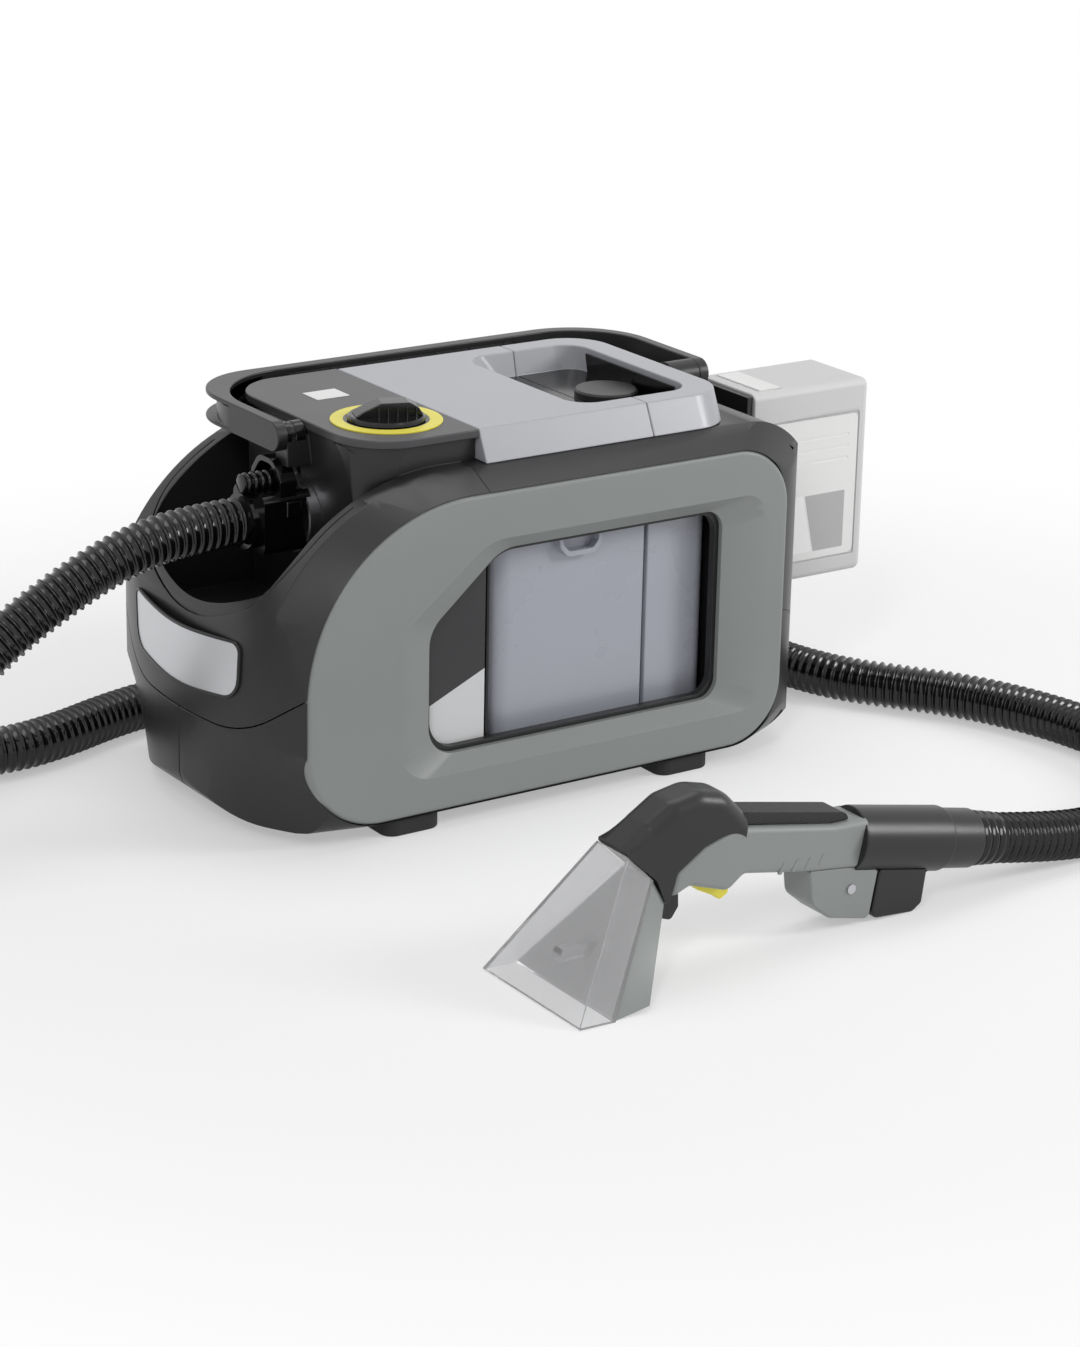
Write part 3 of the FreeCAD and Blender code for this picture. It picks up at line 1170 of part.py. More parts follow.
def funnel(top, bottom, top_half, bottom_half, inset, stretch):
    """A flat funnel between a slit at the neck and a slit at the lip, each two (x, z) points."""
    def wire(front, back, half):
        corners = [(front, -1), (front, 1), (back, 1), (back, -1)]
        spots = [V(x, TOOL_Y + side * (half - inset), z) for (x, z), side in corners]
        return Part.makePolygon(spots + spots[:1])

    def drawn_in(pair):
        first, second = V(pair[0][0], pair[0][1], 0), V(pair[1][0], pair[1][1], 0)
        way = (second - first).normalize()
        return first + way * inset, second - way * inset

    (a, b), (c, d) = drawn_in(top), drawn_in(bottom)
    reach = ((a - c) * stretch, (b - d) * stretch)
    a, b, c, d = a + reach[0], b + reach[1], c - reach[0], d - reach[1]
    return Part.makeLoft([wire((a.x, a.y), (b.x, b.y), top_half), wire((c.x, c.y), (d.x, d.y), bottom_half)],
                         True, True)


NECK, LIP = ((-165, 107), (-140, 83)), ((-236, 1), (-204, 0))
HALVES = (size("tool_half"), size("nozzle_half"))
CAVITY = funnel(NECK, LIP, *HALVES, size("nozzle_wall"), 0.02)
HOOD = funnel(NECK, LIP, *HALVES, 0.0, 0.0).cut([CAVITY, ELBOW, tool_slab(30, SHELL_SIDE)])
JET = block(-212, -176, TOOL_Y - 5, TOOL_Y + 5, 26, 36).common(CAVITY).cut(HOOD)
form("nozzle_hood", HOOD.fuse(JET))
form("nozzle_back", funnel(((-139, 81), (-128, 62)), ((-203.5, 0), (-172, 5)), size("tool_half") - 2,
                           size("nozzle_half") - 2, 0.0, 0.0).cut([ELBOW, tool_slab(30, SHELL_SIDE), HOOD]))

LATCH_SIDE = [(-120, 63, 0), (-124, 44, 3), (-113, 40, 4), (-106, 50, 3), (-107, 68.2, 0)]
form("nozzle_latch", tool_slab(7, LATCH_SIDE))

TRIGGER_SIDE = [(-98, 74, 3), (-90, 60, 5), (-67, 46, 4), (-57, 53, 3), (-62, 60, 4), (-76, 69, 4),
                (-86, 82, 4)]
trigger = tool_slab(size("trigger_half"), TRIGGER_SIDE)
form("spray_trigger", trigger.cut(can("y", TRIGGER_PIVOT[0], TOOL_Y - 20, TRIGGER_PIVOT[1], 2.4, 40)))
form("trigger_spring", can("z", -72, TOOL_Y, 78, 3, 12))
VALVE_BORE = can("x", -50, TOOL_Y, 80, 2.9, 22)
form("spray_valve", block(-48, -20, TOOL_Y - 7, TOOL_Y + 7, 73, 87).cut(VALVE_BORE))
form("valve_plunger", can("x", -55, TOOL_Y, 80, 2.5, 20))

# Screws: under the base, in the rear wall and in the tool's bracket
screws = [can("z", x, y, size("casing_low") - 2, 4, 2) for x in (-150, 80, 230) for y in (-85, 85)]
screws += [can("x", size("casing_rear"), y, z, 4, 2) for y in (-62, 62) for z in (140, 215)]
screws.append(can("y", 53, TOOL_Y - 19.5, 34, 4, 1.5))
form("screws", Part.makeCompound(screws))

doc.recompute()
for item in doc.Objects:
    faults = [word for word in item.State if word in ("Invalid", "Error")]
    if faults:
        raise RuntimeError(f"{item.Label} is {faults}")
for item in NODES:
    if item.Shape.isNull() or not item.Shape.isValid():
        raise RuntimeError(f"{item.Label} has no valid shape")

os.makedirs("parts", exist_ok=True)
whole = FreeCAD.BoundBox()
for item in NODES:
    item.Shape.exportStep(f"parts/{item.Label}.step")
    reach = item.Shape.optimalBoundingBox()
    whole.add(reach)
    print(f"{item.Label}: {len(item.Shape.Solids)} solid(s), {item.Shape.Volume / 1000:.1f} cm3, "
          f"z {reach.ZMin:.1f} to {reach.ZMax:.1f}")
print(f"whole: x {whole.XMin:.1f} {whole.XMax:.1f}, y {whole.YMin:.1f} {whole.YMax:.1f}, "
      f"z {whole.ZMin:.1f} {whole.ZMax:.1f}")
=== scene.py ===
import json
import math

import bpy
from mathutils import Matrix, Vector

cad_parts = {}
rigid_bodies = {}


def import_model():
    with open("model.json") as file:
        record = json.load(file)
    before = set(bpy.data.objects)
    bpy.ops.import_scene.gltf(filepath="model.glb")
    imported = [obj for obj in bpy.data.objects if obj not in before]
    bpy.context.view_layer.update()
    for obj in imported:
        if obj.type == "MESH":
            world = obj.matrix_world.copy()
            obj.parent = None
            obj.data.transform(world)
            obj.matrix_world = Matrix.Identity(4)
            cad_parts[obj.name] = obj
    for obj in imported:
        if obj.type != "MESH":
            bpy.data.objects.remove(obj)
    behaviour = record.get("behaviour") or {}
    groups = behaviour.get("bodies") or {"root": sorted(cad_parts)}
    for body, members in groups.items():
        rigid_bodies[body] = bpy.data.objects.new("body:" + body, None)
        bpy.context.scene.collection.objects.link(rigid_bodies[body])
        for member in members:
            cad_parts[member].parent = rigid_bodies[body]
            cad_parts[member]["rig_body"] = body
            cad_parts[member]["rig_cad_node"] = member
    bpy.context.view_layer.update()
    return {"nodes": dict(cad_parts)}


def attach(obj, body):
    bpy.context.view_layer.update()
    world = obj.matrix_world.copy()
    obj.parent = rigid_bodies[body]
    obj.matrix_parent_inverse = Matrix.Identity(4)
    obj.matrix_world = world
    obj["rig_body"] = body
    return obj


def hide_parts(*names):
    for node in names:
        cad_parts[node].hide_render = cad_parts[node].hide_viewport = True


bl_info = {
    "name": "Spot extractor",
    "version": (1, 0, 0),
    "blender": (4, 5, 0),
    "location": "View3D > Sidebar > Extractor",
    "description": "Dresses the packed spot extractor: casing, container, battery, hose and hand tool",
    "category": "Object",
}

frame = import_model()

MM = 0.001
# The floor midway between the machine's sides, seen from the part's own zero
MIDDLE = Vector((-0.0737, 0.195, 0.0))
# The hood's foremost line, the radius of its bow, its flat side and where bow and corner meet
HOOD_FRONT, HOOD_BOW, HOOD_SIDE, BOW_HALF = -273.0, 385.0, 127, 75
# The dial's middle on the panel, the container's wall, and the face of the battery's side panels
DIAL = (-102, -52, 329.5)
TANK_SIDE, BATTERY_FACE = 116.5, 43.0
SIDES = ((-1, "near"), (1, "far"))
# The tool's middle plane, and its sleeve: the slope, the near end's place and the length
TOOL_Y = -480.0
SLEEVE_SLOPE, SLEEVE_X, SLEEVE_Z, SLEEVE_LONG = 11.5, 60, 69, 128

# The camera's place, solved from the photograph's straight edges
CAMERA_PLACE = (-1598.84, -2489.43, 1104.0)

# The hose's route in millimetres, as in the part's source, from the connector to the tool
HOSE_ROUTE = [
    (-212, 0, 244.5), (-267, 0, 244.5), (-322, -1, 234), (-376, 0, 210), (-432, 1, 178),
    (-484, -2, 139), (-530, -20, 98), (-575, -44, 62), (-628, -61, 34), (-694, -65, 21), (-780, -2, 21),
    (-813, 100, 21), (-780, 202, 21), (-694, 265, 21), (-620, 266, 21), (-560, 250, 21),
    (-508, 221, 21), (-458, 186, 21), (-406, 158, 21), (-352, 150, 21), (-300, 162, 21),
    (-247, 183, 21), (-192, 196, 21), (-135, 200, 21), (-76, 199, 21), (-16, 202, 21), (44, 201, 21),
    (104, 203, 21), (164, 203, 21), (222, 199, 21), (276, 183, 21), (322, 149, 21), (350, 98, 21),
    (359, 40, 21), (364, -18, 21), (382, -72, 21), (415, -118, 21), (447, -163, 21), (470, -214, 21),
    (484, -268, 21), (489, -325, 21), (478, -383, 21), (446, -432, 21), (400, -463, 21),
    (350, -477, 21.2), (294.9, -480, 21.2), (213.85, -480, 37.7)]


def spot(x, y, z):
    """A point in millimetres from the machine's own middle, as a point of the part."""
    return MIDDLE + Vector((x, y, z)) * MM


def linear(red, green, blue):
    """A colour as a screen shows it, 0 to 255, turned into the values that shaders take."""
    shares = [value / 255 for value in (red, green, blue)]
    return tuple(s / 12.92 if s <= 0.04045 else ((s + 0.055) / 1.055) ** 2.4 for s in shares)


def paint(name, description, *shade):
    """A colour that a user can change, its default given as a screen shows it."""
    return bpy.props.FloatVectorProperty(name=name, description=description, subtype="COLOR",
                                         default=linear(*shade), min=0, max=1)


def extent(name, description, default, least, most):
    """A length that a user can change, in metres."""
    return bpy.props.FloatProperty(name=name, description=description, subtype="DISTANCE",
                                   unit="LENGTH", default=default, min=least, max=most)


def turning(name, description, degrees):
    """An angle that a user can change."""
    return bpy.props.FloatProperty(name=name, description=description, subtype="ANGLE",
                                   unit="ROTATION", default=math.radians(degrees))


class EXTRACTOR_PG_colours(bpy.types.PropertyGroup):
    """The colours of the machine's materials"""

    frame_grey: paint("Side frames", "Grey of the side frames and of the tool's shell", 137, 141, 139)
    casing_black: paint("Casing", "Satin black of the casing, the handle and the tool's sleeve",
                        36, 36, 37)
    gloss_black: paint("Gloss black", "Polished black of the knob, the connector and the hose",
                       12, 12, 13)
    lid_grey: paint("Lids", "Milky grey of the container's lids", 171, 172, 177)
    tank_grey: paint("Container", "Milky grey of the container's walls", 172, 175, 185)
    battery_grey: paint("Battery", "Pale grey of the battery's shell", 211, 210, 211)
    panel_white: paint("Pale panels", "Off-white of the battery's side panels and of bare labels",
                       236, 236, 235)
    trigger_yellow: paint("Trigger and ring", "Yellow of the spray trigger and of the dial's ring",
                          236, 224, 74)


class EXTRACTOR_PG_sizes(bpy.types.PropertyGroup):
    """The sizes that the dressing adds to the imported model"""

    casing_edge: extent("Casing edge", "Radius on the edges of the casing", 0.0009, 0.0002, 0.004)
    lid_edge: extent("Lid edge", "Radius on the edges of the lids", 0.0012, 0.0005, 0.005)
    hose_radius: extent("Hose radius", "From the hose's middle to the crest of its ribs",
                        0.021, 0.015, 0.022)
    rib_pitch: extent("Rib pitch", "From one rib of the hose to the next", 0.008, 0.005, 0.015)
    camera_azimuth: turning("Camera azimuth", "Turn of the camera about the vertical", -34.2)
    camera_elevation: turning("Camera elevation", "How far the camera looks down", 19.2)
    camera_roll: turning("Camera roll", "Turn of the camera about its own line of sight", 1.2)


# Modelling steps that the pieces share

def focus(piece):
    """Select one piece alone and make it the active one."""
    bpy.ops.object.select_all(action="DESELECT")
    piece.select_set(True)
    bpy.context.view_layer.objects.active = piece


def edit(piece, kind="FACE", test=None):
    """Enter edit mode with the faces or edges selected that a test picks, or with everything."""
    focus(piece)
    bpy.ops.object.mode_set(mode="EDIT")
    bpy.ops.mesh.select_mode(type=kind)
    bpy.ops.mesh.select_all(action="SELECT" if test is None else "DESELECT")
    if test is not None:
        bpy.ops.object.mode_set(mode="OBJECT")
        for part in piece.data.polygons if kind == "FACE" else piece.data.edges:
            part.select = test(part)
        bpy.ops.object.mode_set(mode="EDIT")


def leave_edit():
    bpy.ops.object.mode_set(mode="OBJECT")


def rounded(corners, steps=6):
    """The points of an outline of straight sides, each corner (u, v, radius)."""
    points = []
    for number, (u, v, radius) in enumerate(corners):
        here = Vector((u, v))
        if radius <= 0:
            points.append((u, v))
            continue
        back = (Vector(corners[number - 1][:2]) - here).normalized()
        ahead = (Vector(corners[(number + 1) % len(corners)][:2]) - here).normalized()
        half = back.angle(ahead) / 2
        middle = here + (back + ahead).normalized() * (radius / math.sin(half))
        start = here + back * (radius / math.tan(half)) - middle
        sweep = back.cross(ahead)
        turn = (math.pi - 2 * half) * (1 if sweep < 0 else -1)
        for step in range(steps + 1):
            way = Matrix.Rotation(turn * step / steps, 2) @ start
            points.append(tuple(middle + way))
    return points


PLACES = {
    "xy": lambda u, v, level: spot(u, v, level),
    "xz": lambda u, v, level: spot(u, level, v),
    "yz": lambda u, v, level: spot(level, u, v),
}


def block(left, low, right, high, radius=1):
    """The corners of an upright rectangle, all with one radius."""
    return [(left, low, radius), (right, low, radius), (right, high, radius), (left, high, radius)]


def span(side, inner, outer):
    """Two levels on the near side (-1) or the far side (1) of the middle, the lower one first."""
    return sorted((side * inner, side * outer))


def circle_at(name, places, fill):
    """A new circle whose points are moved to the given places."""
    bpy.ops.object.select_all(action="DESELECT")
    bpy.ops.mesh.primitive_circle_add(vertices=len(places), radius=1, fill_type=fill)
    piece = bpy.context.active_object
    piece.name = name
    for vertex, place in zip(piece.data.vertices, places):
        vertex.co = place
    return piece


def face_out():
    """Turn all faces outwards and leave edit mode."""
    bpy.ops.mesh.select_all(action="SELECT")
    bpy.ops.mesh.normals_make_consistent(inside=False)
    leave_edit()


def slab(name, plane, low, high, corners, steps=6):
    """An outline in millimetres, drawn in a plane and pushed out from one level to another."""
    place = PLACES[plane]
    piece = circle_at(name, [place(u, v, low) for u, v in rounded(corners, steps)], "NGON")
    push = place(0, 0, high) - place(0, 0, low)
    edit(piece)
    bpy.ops.mesh.extrude_region_move(TRANSFORM_OT_translate={"value": push})
    face_out()
    return piece


def turned(name, profile, start, direction=(0, 0, 1), steps=48):
    """A closed profile of (radius, height) points in millimetres, spun about an axis."""
    piece = circle_at(name, [(radius * MM, 0, height * MM) for radius, height in profile], "NOTHING")
    edit(piece, "VERT")
    bpy.ops.mesh.spin(steps=steps, angle=2 * math.pi, center=(0, 0, 0), axis=(0, 0, 1))
    for clean, settings in ((bpy.ops.mesh.remove_doubles, {"threshold": 0.00001}),
                            (bpy.ops.mesh.dissolve_degenerate, {"threshold": 0.00001}),
                            (bpy.ops.mesh.delete_loose, {"use_verts": True, "use_edges": True})):
        bpy.ops.mesh.select_all(action="SELECT")
        clean(**settings)
    face_out()
    piece.rotation_euler = Vector((0, 0, 1)).rotation_difference(Vector(direction)).to_euler()
    piece.location = spot(*start)
    focus(piece)
    bpy.ops.object.transform_apply()
    return piece


def shaped(piece, kind, **settings):
    """Add a modifier with its settings and apply it."""
    focus(piece)
    modifier = piece.modifiers.new(kind.title(), kind)
    for name, value in settings.items():
        setattr(modifier, name, value)
    bpy.ops.object.modifier_apply(modifier=modifier.name)
    return piece


def soften(piece, width, segments=3, angle=30.0, clamp=True):
    """Round the edges that are sharper than an angle."""
    return shaped(piece, "BEVEL", width=width, segments=segments, limit_method="ANGLE",
                  angle_limit=math.radians(angle), use_clamp_overlap=clamp, miter_outer="MITER_ARC")


def carve(piece, *cutters):
    """Cut other pieces out of one, and clear them away."""
    for cutter in cutters:
        shaped(piece, "BOOLEAN", operation="DIFFERENCE", solver="EXACT", object=cutter)
        bpy.data.objects.remove(cutter)
    return piece


def joined(piece, *others):
    """Make one piece of several closed ones."""
    focus(piece)
    for other in others:
        other.select_set(True)
    bpy.ops.object.join()
    return piece


def bow_back(y):
    """How far the hood's bow lies behind its foremost line, at a place beside its middle."""
    return HOOD_BOW - math.sqrt(HOOD_BOW ** 2 - y ** 2)


def bowed(piece, half=88, step=8):
    """Bend a piece that was drawn flat on the hood's foremost line back along the hood's bow."""
    edit(piece)
    for y in range(-half, half + 1, step):
        bpy.ops.mesh.select_all(action="SELECT")
        bpy.ops.mesh.bisect(plane_co=spot(0, y, 0), plane_no=(0, 1, 0))
    leave_edit()
    for vertex in piece.data.vertices:
        vertex.co.x += bow_back((vertex.co.y - MIDDLE.y) / MM) * MM
    return piece


def copy_of(node, name):
    """A merged copy of a CAD node with its flat faces joined, ready to be rounded."""
    source = frame["nodes"][node]
    focus(source)
    bpy.ops.object.duplicate()
    piece = bpy.context.active_object
    bpy.ops.object.parent_clear(type="CLEAR_KEEP_TRANSFORM")
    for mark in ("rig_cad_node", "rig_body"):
        del piece[mark]
    piece.name = name
    piece.data.materials.clear()
    edit(piece, "VERT")
    bpy.ops.mesh.remove_doubles(threshold=0.00002)
    bpy.ops.mesh.select_all(action="SELECT")
    bpy.ops.mesh.dissolve_limited(angle_limit=math.radians(1.0))
    leave_edit()
    return piece


def settle(piece, body, slot, material, *nodes, smooth=40.0):
    """Give a finished piece its material and let it ride on a body in the place of CAD nodes."""
    focus(piece)
    bpy.ops.object.transform_apply()
    bpy.ops.object.shade_smooth_by_angle(angle=math.radians(smooth))
    shaped(piece, "WEIGHTED_NORMAL", mode="FACE_AREA", weight=50, keep_sharp=True)
    piece.data.materials.clear()
    piece.data.materials.append(material)
    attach(piece, body)
    if nodes:
        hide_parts(*nodes)
    return piece


def round_node(node, name, body, slot, material, width, segments=2, angle=40, clamp=True):
    """Put a CAD node with softened edges in its own place."""
    piece = soften(copy_of(node, name), width, segments, angle, clamp)
    return settle(piece, body, slot, material, node)


# Materials

NUMBER, TINT = "NodeSocketFloat", "NodeSocketColor"


def shader_of(name):
    """A new material, its nodes and links, and its main shader."""
    material = bpy.data.materials.new(name)
    material.use_nodes = True
    nodes = material.node_tree.nodes
    return material, nodes, material.node_tree.links, nodes["Principled BSDF"]


def set_inputs(node, **values):
    """Set a node's plain inputs, named with underscores for blanks."""
    for label, value in values.items():
        node.inputs[label.replace("_", " ")].default_value = value
    return node


def maths(tree, operation, *terms):
    """A Math node whose inputs are sockets or plain numbers, as its output."""
    node = tree.nodes.new("ShaderNodeMath")
    node.operation = operation
    for socket, term in zip(node.inputs, terms):
        if isinstance(term, bpy.types.NodeSocket):
            tree.links.new(term, socket)
        else:
            socket.default_value = term
    return node.outputs[0]


def add_relief(material, group, scale, depth, strength):
    """Let a group's height raise the surface of a material."""
    nodes, links = material.node_tree.nodes, material.node_tree.links
    texture = nodes.new("ShaderNodeGroup")
    texture.node_tree = group()
    texture.inputs["Scale"].default_value = scale
    bump = set_inputs(nodes.new("ShaderNodeBump"), Strength=strength, Distance=depth)
    links.new(texture.outputs["Height"], bump.inputs["Height"])
    links.new(bump.outputs["Normal"], nodes["Principled BSDF"].inputs["Normal"])


def group_of(name, inputs, outputs):
    """A shader node group with named sockets, or the one that is there already."""
    if name in bpy.data.node_groups:
        return bpy.data.node_groups[name], None, None
    tree = bpy.data.node_groups.new(name, "ShaderNodeTree")
    for label, kind, value in inputs:
        socket = tree.interface.new_socket(label, in_out="INPUT", socket_type=kind)
        socket.default_value = value
    for label, kind in outputs:
        tree.interface.new_socket(label, in_out="OUTPUT", socket_type=kind)
    return tree, tree.nodes.new("NodeGroupInput"), tree.nodes.new("NodeGroupOutput")


def handling_marks():
    """Slow changes of tone and of gloss, as hands and cleaning leave them on a moulded part."""
    tree, into, out = group_of(
        "Handling marks",
        [("Colour", TINT, (0.5, 0.5, 0.5, 1)), ("Tone spread", NUMBER, 0.05),
         ("Roughness", NUMBER, 0.4), ("Gloss spread", NUMBER, 0.08), ("Scale", NUMBER, 14.0)],
        [("Colour", TINT), ("Roughness", NUMBER)])
    if into is None:
        return tree
    links = tree.links
    place = tree.nodes.new("ShaderNodeTexCoord")
    cloud = set_inputs(tree.nodes.new("ShaderNodeTexNoise"), Detail=5)
    links.new(place.outputs["Object"], cloud.inputs["Vector"])
    links.new(into.outputs["Scale"], cloud.inputs["Scale"])
    centred = maths(tree, "SUBTRACT", cloud.outputs["Fac"], 0.5)
    tinted = tree.nodes.new("ShaderNodeVectorMath")
    tinted.operation = "SCALE"
    links.new(into.outputs["Colour"], tinted.inputs[0])
    links.new(maths(tree, "MULTIPLY_ADD", centred, into.outputs["Tone spread"], 1.0),
              tinted.inputs["Scale"])
    links.new(tinted.outputs[0], out.inputs["Colour"])
    links.new(maths(tree, "MULTIPLY_ADD", centred, into.outputs["Gloss spread"],
                    into.outputs["Roughness"]), out.inputs["Roughness"])
    return tree


def height_group(name, scale, kind, stretch=None):
    """A group with one texture on object coordinates, or the group that is there already."""
    tree, into, out = group_of(name, [("Scale", NUMBER, scale)], [("Height", NUMBER)])
    if into is None:
        return tree, None, None
    place = tree.nodes.new("ShaderNodeTexCoord").outputs["Object"]
    if stretch:
        mapping = set_inputs(tree.nodes.new("ShaderNodeMapping"), Scale=stretch)
        tree.links.new(place, mapping.inputs["Vector"])
        place = mapping.outputs["Vector"]
    texture = tree.nodes.new(kind)
    tree.links.new(place, texture.inputs["Vector"])
    tree.links.new(into.outputs["Scale"], texture.inputs["Scale"])
    return tree, texture, out


def moulded_grain():
    """The fine spark-eroded grain that a mould leaves, as a height."""
    tree, grain, out = height_group("Moulded grain", 900.0, "ShaderNodeTexNoise")
    if grain is not None:
        set_inputs(grain, Detail=2)
        tree.links.new(grain.outputs["Fac"], out.inputs["Height"])
    return tree


def brushed_lines():
    """Long fine scratches along Y, as brushing leaves them, as a height."""
    tree, lines, out = height_group("Brushed lines", 1.0, "ShaderNodeTexNoise", (900, 14, 2600))
    if lines is not None:
        tree.links.new(lines.outputs["Fac"], out.inputs["Height"])
    return tree


def raised_dots():
    """Rows of small round dots seen from the side of the grip, as a height."""
    tree, dots, out = height_group("Raised dots", 420.0, "ShaderNodeTexVoronoi")
    if dots is not None:
        set_inputs(dots, Randomness=0.0)
        level = set_inputs(tree.nodes.new("ShaderNodeMapRange"), From_Min=0.15, From_Max=0.45,
                           To_Min=1.0, To_Max=0.0)
        tree.links.new(dots.outputs["Distance"], level.inputs["Value"])
        tree.links.new(level.outputs["Result"], out.inputs["Height"])
    return tree


def material_of(name, colour, roughness, relief=moulded_grain, scale=900.0, depth=0.00005, tone=0.06,
                gloss=0.08, metallic=0.0, shine=0.5):
    """A moulded or metal finish, made once under its name."""
    if name in bpy.data.materials:
        return bpy.data.materials[name]
    material, nodes, links, shader = shader_of(name)
    set_inputs(shader, Metallic=metallic, Specular_IOR_Level=shine)
    marks = nodes.new("ShaderNodeGroup")
    marks.node_tree = handling_marks()
    set_inputs(marks, Colour=(*colour, 1), Tone_spread=tone, Roughness=roughness, Gloss_spread=gloss)
    links.new(marks.outputs["Colour"], shader.inputs["Base Color"])
    links.new(marks.outputs["Roughness"], shader.inputs["Roughness"])
    add_relief(material, relief, scale, depth, 0.6)
    return material


def colours():
    return bpy.context.scene.extractor_colours


def frame_grey():
    return material_of("Frame grey", colours().frame_grey, 0.46)


def casing_black():
    return material_of("Casing black", colours().casing_black, 0.34, depth=0.00006, shine=0.4)


def gloss_black():
    return material_of("Gloss black", colours().gloss_black, 0.14, depth=0.00001, gloss=0.05,
                       shine=0.4)


def hose_black():
    return material_of("Hose black", colours().gloss_black, 0.15, scale=300, depth=0.00002, shine=0.45)


def rubber_black():
    return material_of("Rubber black", linear(30, 30, 31), 0.7, scale=1400, depth=0.00008)


def grip_black():
    return material_of("Grip black", linear(33, 33, 34), 0.62, relief=raised_dots, scale=420,
                       depth=0.0004)


def lid_grey():
    return material_of("Lid grey", colours().lid_grey, 0.3, depth=0.00001, tone=0.03)


def tank_grey():
    return material_of("Tank grey", colours().tank_grey, 0.28, depth=0.00001, tone=0.03)


def battery_grey():
    return material_of("Battery grey", colours().battery_grey, 0.5, tone=0.03)


def panel_white():
    return material_of("Panel white", colours().panel_white, 0.45, depth=0.00002, tone=0.02)


def trigger_yellow():
    return material_of("Trigger yellow", colours().trigger_yellow, 0.35, depth=0.00002, tone=0.03)


def plain_steel():
    return material_of("Plain steel", linear(190, 190, 194), 0.32, metallic=1.0, depth=0.00001)


def brushed_plate():
    return material_of("Brushed plate", linear(212, 213, 216), 0.34, relief=brushed_lines, scale=1.0,
                       depth=0.00006, metallic=0.75)


def board_green():
    return material_of("Board green", linear(30, 84, 44), 0.4, scale=500)


def clear_plastic():
    """Clear moulded plastic with soft flow marks."""
    material, *_, shader = shader_of("Clear plastic")
    set_inputs(shader, Base_Color=(0.88, 0.88, 0.89, 1), Roughness=0.1, IOR=1.46,
               Transmission_Weight=0.84)
    add_relief(material, moulded_grain, 26, 0.0006, 0.3)
    return material


def label_film():
    """A bare two-tone film: dark above a slanted line, pale below it."""
    material, nodes, links, shader = shader_of("Label film")
    slope, level = -0.45, 0.1834
    axes = nodes.new("ShaderNodeSeparateXYZ")
    links.new(nodes.new("ShaderNodeTexCoord").outputs["Object"], axes.inputs[0])
    line = maths(material.node_tree, "MULTIPLY_ADD", axes.outputs["X"], slope, axes.outputs["Z"])
    tones = nodes.new("ShaderNodeMix")
    tones.data_type = "RGBA"
    set_inputs(tones, A=(*linear(214, 215, 216), 1), B=(*linear(52, 52, 54), 1))
    links.new(maths(material.node_tree, "GREATER_THAN", line, level), tones.inputs["Factor"])
    links.new(tones.outputs["Result"], shader.inputs["Base Color"])
    shader.inputs["Roughness"].default_value = 0.4
    return material


# Casing

def rim_groove():
    """The cutter for the thin groove that follows the rim of the hood's basin."""
    lines, slope, rear = [], 0.1986, -172
    for deep in (9.6, 10.7):
        bow = [(HOOD_FRONT + deep + bow_back(y), y, 0) for y in range(-BOW_HALF, BOW_HALF + 1, 15)]
        side, radius = HOOD_SIDE - deep, 56 - deep
        corner = bow[0][0] + slope * (side - BOW_HALF)
        lines.append([(rear, -side, 0), (corner, -side, radius), *bow, (corner, side, radius),
                      (rear, side, 0)])
    return slab("rim_groove", "xy", 150, 320, lines[0] + lines[1][::-1], 10)


class EXTRACTOR_OT_casing(bpy.types.Operator):
    """Round the edges of the base, the hood and the rear deck and give them their black"""

    bl_idname = "extractor.casing"
    bl_label = "Casing"

    def execute(self, context):
        width = context.scene.extractor_sizes.casing_edge
        base = copy_of("base_tub", "base_moulding")
        seam = slab("seam", "yz", HOOD_FRONT - 8, -66, [
            (-160, 137.1, 0), (-156, 137.1, 0), (-91, 92.1, 120), (91, 92.1, 120), (156, 137.1, 0),
            (160, 137.1, 0), (160, 139, 0), (156, 139, 0), (91, 94, 120), (-91, 94, 120), (-156, 139, 0),
            (-160, 139, 0)], 10)
        split = slab("split", "xz", -0.4, 0.4, [(-282, 10, 0), (-256, 10, 0), (-270.5, 34, 0),
                                                (-270.5, 95, 0), (-282, 95, 0)])
        carve(base, seam, split)
        hood = copy_of("front_hood", "hood_moulding")
        carve(hood, rim_groove())
        deck = copy_of("rear_deck", "deck_moulding")
        for piece, node in ((base, "base_tub"), (hood, "front_hood"), (deck, "rear_deck")):
            soften(piece, width, 2, 32, node == "rear_deck")
            settle(piece, "root", "black_plastic", casing_black(), node)
        return {"FINISHED"}


class EXTRACTOR_OT_side_frames(bpy.types.Operator):
    """Round the grey side frames, the black lips of their windows and the bare side labels"""

    bl_idname = "extractor.side_frames"
    bl_label = "Side frames"

    def execute(self, context):
        width = context.scene.extractor_sizes.casing_edge
        for _, side in SIDES:
            round_node(f"{side}_side_frame", f"{side}_frame_moulding", "root", "grey_plastic",
                       frame_grey(), width, 3, 20)
        round_node("window_bezels", "window_lips", "root", "black_plastic", casing_black(), width / 2)
        round_node("side_label_plates", "bare_side_films", "root", "label_film", label_film(),
                   width / 4)
        return {"FINISHED"}


class EXTRACTOR_OT_feet(bpy.types.Operator):
    """Round the rubber feet"""

    bl_idname = "extractor.feet"
    bl_label = "Feet"

    def execute(self, context):
        round_node("feet", "rubber_feet", "root", "black_rubber", rubber_black(), 0.002, 3)
        return {"FINISHED"}


